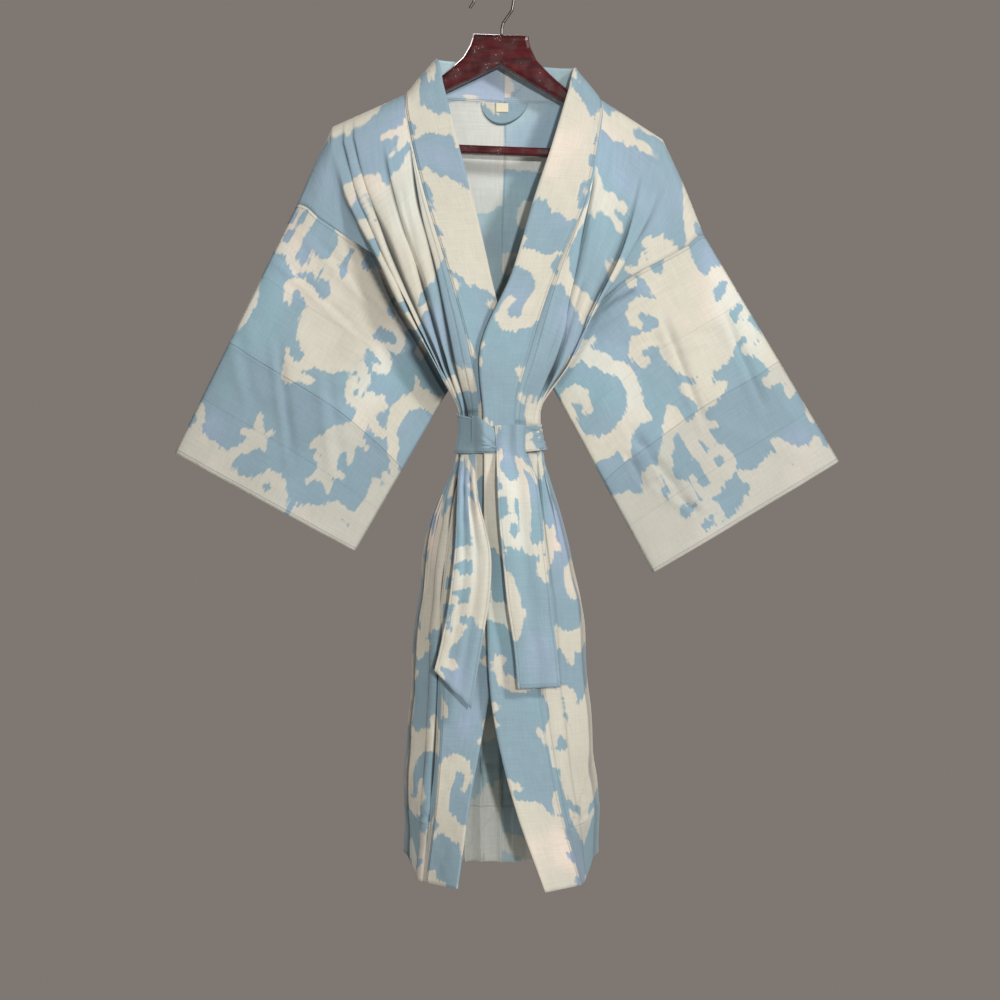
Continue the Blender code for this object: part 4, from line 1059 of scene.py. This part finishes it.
def sleeve_painted_shade(name, x, z):
    """Painted shadow on a sleeve where its front's outer fold hangs over it, and painted shade in its own
    valleys.
    """
    fold = rail(LEFT_FRONT if name == "left" else RIGHT_FRONT, 2, np.arange(60.0, 400.0, 12.0))

    def beside(points, offset, width):
        return near_line(x, z, [(point[0] + offset, point[2]) for point in points], width)

    if name == "left":
        return 1.7 * np.maximum(beside(fold, -10.0, 5.5), beside(fold[20:], -13.0, 9.0))
    valley_shade = [0.5 * near_line(x, z, line, 3.2) for line in SLEEVE_VALLEY_SHADE]
    return np.maximum.reduce([0.4 * beside(fold, 4.0, 4.0)] + valley_shade)


def made_sleeves(outer, inner, edges, back, armhole):
    """Both sleeves, from the armhole's edges of the fronts and the back to the cuffs."""
    for name, back_edge, cuff, figures, seed, shift, grown, creases in (
        (
            "left", back[:, 0], LEFT_CUFF, LEFT_CUFF_FIGURES,
            31, (0.318, 0.208), 0.001, LEFT_SLEEVE_CREASES,
        ),
        (
            "right", back[:, -1], RIGHT_CUFF, RIGHT_CUFF_FIGURES,
            41, (0.197, 0.417), 0.0028, RIGHT_SLEEVE_CREASES,
        ),
    ):
        grid, around = sleeve_grid(edges[name][0][:armhole], back_edge[:armhole], cuff)
        girth = widths(np.concatenate([grid, grid[:, :1]], axis=1))[:-1]
        length = np.linalg.norm(np.diff(grid, axis=0), axis=2).mean(axis=1)
        u, v = np.meshgrid(girth, np.r_[0, np.cumsum(length)] * MM)
        sleeve = float(v.max())
        facing = sleeve - FACING
        front_half = np.arange(grid.shape[1]) < armhole
        hold = step_up(v, 0.0, 0.03) * np.sin(math.pi * np.broadcast_to(around, u.shape)) ** 0.35
        front_creases = crease_field(grid[:, :, 0], grid[:, :, 2], creases)
        lift = swells(u, v, seed, 1.3, 0.10, 0.4, 0.035)
        lift += np.where(front_half[None, :], front_creases, 0.7 * front_creases)
        lift += 0.9 * step_up(v, facing + 0.002, facing - 0.001) * step_up(v, facing - 0.05, facing - 0.004)
        moved = raised(grid, facing_front(grid, columns=front_half, ring=True), lift * hold)
        field = print_field(u, -v, shift, grown)
        for across, up, wide, tall in figures:
            field = np.minimum(field, oval(u, sleeve - v, across, up, wide, tall))
        seams = nearest_seam(v - facing, v - (sleeve - 0.004), v - 0.004)
        # Painted shadow of the outer fold and painted shade in the valleys, on the front half only
        dark = np.where(front_half[None], sleeve_painted_shade(name, moved[:, :, 0], moved[:, :, 2]), 0.0)
        piece = cloth_piece(
            "sleeve_" + name + "_cloth", moved, u, -v, field, seams, (outer, inner),
            away(moved, (0.0, 1.0, 0.0)), ring=True, shaded=dark,
            lined=step_up(v, facing - 0.0005, facing + 0.0005),
        )
        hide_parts("sleeve_" + name)


def made_band(outer, inner, drops, edges, back, neck, shares):
    """The collar band, edge to seam, from the left hem round the neck to the right hem."""
    left_edge, right_edge = rail(LEFT_FRONT, 0, drops), rail(RIGHT_FRONT, 0, drops)
    left_top, middle, right_top = (
        np.array([point], float)
        for point in (LEFT_FRONT["shoulder"][0], BAND_TOP, RIGHT_FRONT["shoulder"][0])
    )
    top = round_neck(left_top, middle, right_top, shares[1:])[0]
    edge = np.vstack([left_edge[::-1], top, right_edge])
    seam = np.vstack([edges["left"][1][::-1], back[0, neck[0] + 1 : neck[1]], edges["right"][1]])
    across = np.linspace(0, 1, 15)
    grid = edge[:, None] + (seam - edge)[:, None] * across[None, :, None]
    run = np.linalg.norm(np.diff((edge + seam) / 2, axis=0), axis=1)
    u, v = np.meshgrid(across * BAND_WIDTH, np.r_[0, np.cumsum(run)] * MM)
    hold = np.sin(math.pi * across)[None, :] ** 0.6
    lift = swells(u, v, 51, 0.8, 0.09, 0.3, 0.03)
    grid = raised(grid, facing_front(grid, rows=slice(len(drops) // 2)), lift * hold)
    # Two strips joined behind the neck, so the print breaks there
    nape = v[len(grid) // 2, 0]
    field = print_field(u, v, (0.083, np.where(v < nape, 0.20, 0.10)))
    seams = nearest_seam(u - (BAND_WIDTH - 0.0025), v - nape)
    piece = cloth_piece("collar_band_cloth", grid, u, v, field, seams, (outer, inner), thickness=1.5)
    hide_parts("collar_band")


# Belt

def hull(points):
    """The convex outline of points in the plane, anticlockwise."""
    points = sorted(map(tuple, points))

    def chain(line):
        kept = []
        for point in line:
            while len(kept) > 1:
                a, b = np.subtract(kept[-1], kept[-2]), np.subtract(point, kept[-2])
                if a[0] * b[1] - a[1] * b[0] > 0:
                    break
                kept.pop()
            kept.append(point)
        return kept[:-1]

    return np.array(chain(points) + chain(points[::-1]))


def direction(angle):
    return np.array([math.cos(angle), math.sin(angle)])


def around_waist(waist, spread_out, count):
    """A loop round the waist at a distance from it, from the right towards the front."""
    outline = hull(waist)
    middle = (outline.min(axis=0) + outline.max(axis=0)) / 2
    outline = hull([
        start + (end - start) * step / 12 + spread_out * direction(2 * math.pi * index / 24)
        for start, end in zip(outline, np.roll(outline, -1, axis=0))
        for step in range(12)
        for index in range(24)
    ])
    loop = []
    for index in range(count):
        way = direction(-2 * math.pi * index / count)
        reach = 0.0
        for start, end in zip(outline, np.roll(outline, -1, axis=0)):
            side, gap = end - start, start - middle
            divide = way[0] * side[1] - way[1] * side[0]
            if abs(divide) < 1e-9:
                continue
            along = (gap[0] * side[1] - gap[1] * side[0]) / divide
            share = (gap[0] * way[1] - gap[1] * way[0]) / divide
            if along > 0 and -1e-9 <= share <= 1 + 1e-9:
                reach = max(reach, along)
        loop.append(middle + way * reach)
    loop = np.array(loop)
    # Soft cloth bridges the corners of what it goes round
    for _ in range(10):
        loop = (np.roll(loop, 1, axis=0) + 2 * loop + np.roll(loop, -1, axis=0)) / 4
    return loop


def made_loop(outer, inner, drops, robe):
    """The belt round the waist of the robe's grids. Returns the line of its front, from left to right."""
    edges = rail(LEFT_FRONT, 0, drops), rail(RIGHT_FRONT, 0, drops)

    def loop_at(low, high, spread_out):
        inside = (drops >= low) & (drops <= high)
        waist = [grid[inside].reshape(-1, 3)[:, :2] for grid in robe]
        waist += [edge[inside][:, :2] for edge in edges]
        return around_waist(np.vstack(waist), spread_out, LOOP_STEPS)

    loop = loop_at(WAIST_DROP - HALF_BELT - 12, WAIST_DROP + HALF_BELT + 12, 2.5)
    levels = np.stack([loop_at(drop - 7, drop + 7, 1.9) for drop in WAIST_DROP + 13 * np.arange(-2, 3)])
    degrees = 360 * np.arange(LOOP_STEPS) / LOOP_STEPS
    stops, tops, feet = np.array(BELT_LOOP, float).T
    top, foot = np.interp(degrees, stops, tops), np.interp(degrees, stops, feet)
    across = np.linspace(0, 1, 19)
    grid = np.zeros((len(across), LOOP_STEPS, 3))
    grid[:, :, 2] = top[None] + (foot - top)[None] * across[:, None]
    for column in range(LOOP_STEPS):
        for axis in (0, 1):
            grid[:, column, axis] = np.interp(across, np.linspace(0, 1, 5), levels[:, column, axis])
    step = np.linalg.norm(np.diff(np.vstack([loop, loop[:1]]), axis=0), axis=1)
    u, v = np.meshgrid(np.r_[0, np.cumsum(step)[:-1]] * MM, across * 0.050)
    normal = normals_of(grid, ring=True)
    if np.sum(normal[:, :, :2] * (grid[:, :, :2] - loop.mean(axis=0))) < 0:
        normal = -normal
    # Tension folds: bunched at the right end of the front, drawn into the knot on the left
    bunched = bell(degrees, 22, 24) + bell(degrees, 382, 24)
    wander = 0.22 * np.sin(degrees / 7) + 0.1 * np.sin(degrees / 2.7)
    drawn = across[:, None] * 1.6 + (degrees[None] - 112) / 50
    lift = 1.5 * bunched[None] * np.sin(2 * math.pi * (across[:, None] * 4.2 + wander[None]))
    lift += 1.0 * bell(degrees, 112, 16)[None] * np.sin(2 * math.pi * drawn) + 0.4 * waves(u, v, 61, 0.05)
    grid = raised(grid, normal, lift)
    # Plain ground of the print round the left part of the front
    plain = 0.05 - 0.06 * step_up(np.abs(degrees - 135)[None], 40, 70)
    field = np.maximum(print_field(v, u, (0.02, 0.22)), plain)
    seams = np.minimum(np.abs(v - 0.003), np.abs(v - 0.047))
    piece = cloth_piece(
        "belt_loop_cloth", grid, u, v, field, seams, (outer, inner), away(grid, (1.0, 1.0, 0.0)),
        thickness=BELT_THICKNESS, ring=True,
    )
    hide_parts("belt_loop")
    front = loop[loop[:, 1] < loop[:, 1].mean()]
    return front[np.argsort(front[:, 0])]


def made_tails(outer, inner, front):
    """The belt's two ends, which hang from the loop. lift_off is how far one lies over the loop."""
    for name, table, folds, lift_off, seed, shift in (
        ("left", LEFT_TAIL, 3, 0.0, 71, (0.20, 0.05)),
        ("right", RIGHT_TAIL, 2, 2.3, 73, (0.31, 0.30)),
    ):
        def over_loop(x):
            return np.interp(x, front[:, 0], front[:, 1]) - lift_off

        places = np.linspace(0, len(table) - 1, 90)
        sides = []
        for side in zip(*table):
            points = [(x, over_loop(x) if y is None else y, z) for x, y, z in side]
            sides.append(smooth_path(points, np.arange(len(table)), places))
        share = np.linspace(0, 1, 33)
        grid = sides[0][:, None] + (sides[1] - sides[0])[:, None] * share[None, :, None]
        on_loop = sum(1 for left, _ in table if left[1] is None)
        hugging = np.clip(on_loop - places, 0, 1)[:, None]
        hugged = grid[:, :, 1] * (1 - hugging) + over_loop(grid[:, :, 0]) * hugging
        grid[:, :, 1] = np.minimum(grid[:, :, 1], hugged)
        opened = (places / (len(table) - 1))[:, None]
        fold = 3.0 * (1 - 0.6 * opened) * np.sin(math.pi * folds * share[None]) ** 2
        if not lift_off:
            fold = fold * step_up(places, 0.0, 1.0)[:, None]
        grid[:, :, 1] -= fold
        run = np.r_[0, np.cumsum(np.linalg.norm(np.diff(grid.mean(axis=1), axis=0), axis=1))] * MM
        u, v = np.meshgrid(share * 0.056, run)
        lift = 0.8 * waves(u, v, seed, 0.07) * step_up(v, 0.02, 0.08) + 0.2 * waves(u, v, seed + 1, 0.025)
        grid = raised(grid, facing_front(grid), lift)
        seams = np.minimum.reduce([np.abs(u - 0.003), np.abs(u - 0.053), np.abs(v - (v.max() - 0.004))])
        piece = cloth_piece(
            "belt_tail_" + name + "_cloth", grid, u, -v, print_field(u, -v, shift), seams, (outer, inner),
            thickness=BELT_THICKNESS,
        )
        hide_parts("belt_tail_" + name)


def made_knot(outer, inner, front):
    """The drawn-in end of the wrap, bulging over the knot, with tucks that meet at its right."""
    across, down = np.linspace(0, 1, 49), np.linspace(0, 1, 57)
    grid = np.zeros((len(down), len(across), 3))
    x = -27.0 + 29.5 * across
    pinch = step_up(across, 0.25, 1.0)
    high = -564.5 - 10.0 * across - 7.0 * pinch
    low = -608.6 + 1.0 * pinch
    z = high[None] + (low - high)[None] * down[:, None]
    bulge = 5.6 * np.sin(math.pi * np.clip(across * 0.93, 0, 1)) ** 1.6 * step_up(across, 0.0, 0.55)
    round_over = np.sin(math.pi * np.clip(down, 0.02, 0.98)) ** 0.45
    depth = bulge[None] * round_over[:, None]
    meet = -602.0
    for start, width, height in (
        (-585.0, 2.3, 1.8), (-594.0, 1.7, 1.6), (-606.0, 1.8, 1.4), (-578.0, 2.6, 1.0),
    ):
        line = start + (meet - start) * across[None] ** 0.8
        gap = (z - line) / width
        depth = depth - height * gap * np.exp(0.5 - gap * gap) * step_up(across, 0.25, 0.7)[None]
    sunk = 3.0 - 3.9 * step_up(across, 0.0, 0.30)
    grid[:, :, 0], grid[:, :, 2] = x[None], z
    grid[:, :, 1] = (np.interp(x, front[:, 0], front[:, 1]) + sunk)[None] - np.maximum(depth, -0.2)
    u, v = np.meshgrid(across * 0.030, down * 0.044)
    plain, unsewn = np.full_like(u, 0.05), np.ones_like(u)
    piece = cloth_piece("belt_knot_cloth", grid, u, v, plain, unsewn, (outer, inner), thickness=0.9)
    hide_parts("belt_knot")


# Inside the neck

def inside_back(back, neck, x, fall, off):
    """The point at x, at a distance below the neck seam and off the inside of the back, in mm."""
    columns = np.arange(neck[0], neck[1] + 1)
    column = int(round(float(np.interp(x, back[0, columns, 0], columns))))
    heights = back[0, column, 2] - back[:60, column, 2]
    row = float(np.interp(fall, heights, np.arange(60)))
    low = int(row)
    point = back[low, column] * (1 - row + low) + back[low + 1, column] * (row - low)
    return x, point[1] - off, point[2]


def made_patch(outer, inner, back, neck):
    """The half-moon patch that covers the seams inside the neck."""
    across, down = np.linspace(0, 1, 41), np.linspace(0, 1, 17)
    arcs = [max(0.12, math.sin(math.pi * share**1.25) ** 0.42) for share in across]
    grid = np.array([
        [
            inside_back(back, neck, 42.0 - 58.0 * share, 0.9 + (28.5 * arc - 0.9) * share_down, 1.9)
            for share, arc in zip(across, arcs)
        ]
        for share_down in down
    ])
    u, down = np.meshgrid(across * 0.058, down)
    v = np.abs(grid[0:1, :, 2] - grid[:, :, 2]) * MM
    field = print_field(u, v, (0.36, 0.40))
    # Painted shadow along the patch's rim
    piece = cloth_piece(
        "neck_patch_cloth", grid, u, v, field, np.abs(down - 0.93) * 0.03, (outer, inner),
        thickness=0.8, shaded=step_up(down, 0.90, 0.97),
    )
    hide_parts("neck_patch")


def made_label(label_tape, back, neck):
    """The bare size label on the patch."""
    across, down = np.linspace(0, 1, 11), np.linspace(0, 1, 9)
    grid = np.array([
        [inside_back(back, neck, 18.0 - 16.0 * share, 1.4 + 11.1 * share_down, 3.3) for share in across]
        for share_down in down
    ])
    u, v = np.meshgrid(across * 0.016, down * 0.011)
    plain, unsewn = np.ones_like(u), np.ones_like(u)
    piece = cloth_piece("size_label_tape", grid, u, v, plain, unsewn, (label_tape,), thickness=0.6)
    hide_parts("size_label")


# Hanger, studio and the whole

def made_hanger(wood, wire):
    for name, material in (("hanger_body", wood), ("trouser_bar", wood), ("hook", wire)):
        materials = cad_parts[name].data.materials
        materials.clear()
        materials.append(material)


def studio():
    """Pale floor, plain soft light and the camera."""
    link = bpy.context.scene.collection.objects.link
    bpy.ops.object.select_all(action="DESELECT")
    bpy.ops.mesh.primitive_circle_add(vertices=96, radius=1.15, fill_type="NGON", location=(0, 0, -1.9))
    floor = bpy.context.object
    floor.name = "floor"
    bpy.ops.object.transform_apply(location=True)
    material, tree, inputs = principled("pale floor", {"Roughness": 0.7})
    tone = noise(tree, node(tree, "ShaderNodeTexCoord").outputs["Object"], 5.0, 3.0)
    put_in(tree, inputs["Base Color"], mix_colours(tree, tone, (0.60, 0.59, 0.57, 1), (0.66, 0.65, 0.63, 1)))
    floor.data.materials.append(material)
    world = bpy.data.worlds.new("studio")
    bpy.context.scene.world = world
    world.use_nodes = True
    background = world.node_tree.nodes["Background"].inputs
    background["Color"].default_value = (0.46, 0.405, 0.365, 1)
    background["Strength"].default_value = 0.46
    for name, place, size, power in (
        ("key", (1.9, -2.2, 0.75), 0.45, 51),
        ("fill", (-1.5, -2.6, 0.1), 1.8, 10),
        ("front", (0.45, -2.85, -0.40), 0.10, 37),
        ("rear", (-0.8, 2.4, 0.8), 1.6, 34),
    ):
        light = bpy.data.lights.new(name, "AREA")
        light.size = size
        light.energy = power
        lamp = bpy.data.objects.new(name, light)
        lamp.location = place
        way = np.array(LIGHTS_AIM) - np.array(place)
        tilt, swing = math.acos(-way[2] / np.linalg.norm(way)), math.atan2(way[1], way[0])
        lamp.rotation_euler = (tilt, 0.0, swing - math.pi / 2)
        link(lamp)
    lens = bpy.data.cameras.new("camera")
    lens.lens = 51.84
    lens.sensor_width = 36.0
    camera = bpy.data.objects.new("camera", lens)
    camera.location = (0.0075, -1.8, -0.66725)
    camera.rotation_euler = (math.pi / 2, 0, 0)
    link(camera)
    bpy.context.scene.camera = camera
    bpy.context.scene.view_settings.view_transform = "Standard"


def main():
    group = dyed_cotton_and_painted_shade_group()
    outer = cotton("printed cotton face", group, (0.264, 0.378, 0.44, 1), (0.625, 0.598, 0.505, 1), 1.0, 1.0)
    inner = cotton("printed cotton reverse", group, (0.43, 0.565, 0.60, 1), (0.72, 0.71, 0.64, 1), 0.80, -1.0)
    drops = row_drops()
    fronts, edges = made_fronts(outer, inner, drops)
    back, neck, shares = made_back(outer, inner, drops, fronts)
    armhole = int(np.searchsorted(drops, UNDERARM_DROP)) + 1
    made_sleeves(outer, inner, edges, back, armhole)
    made_band(outer, inner, drops, edges, back, neck, shares)
    front = made_loop(outer, inner, drops, (fronts["left"], fronts["right"], back))
    made_tails(outer, inner, front)
    made_knot(outer, inner, front)
    made_patch(outer, inner, back, neck)
    made_label(tape(), back, neck)
    made_hanger(lacquer(), steel())
    studio()


main()
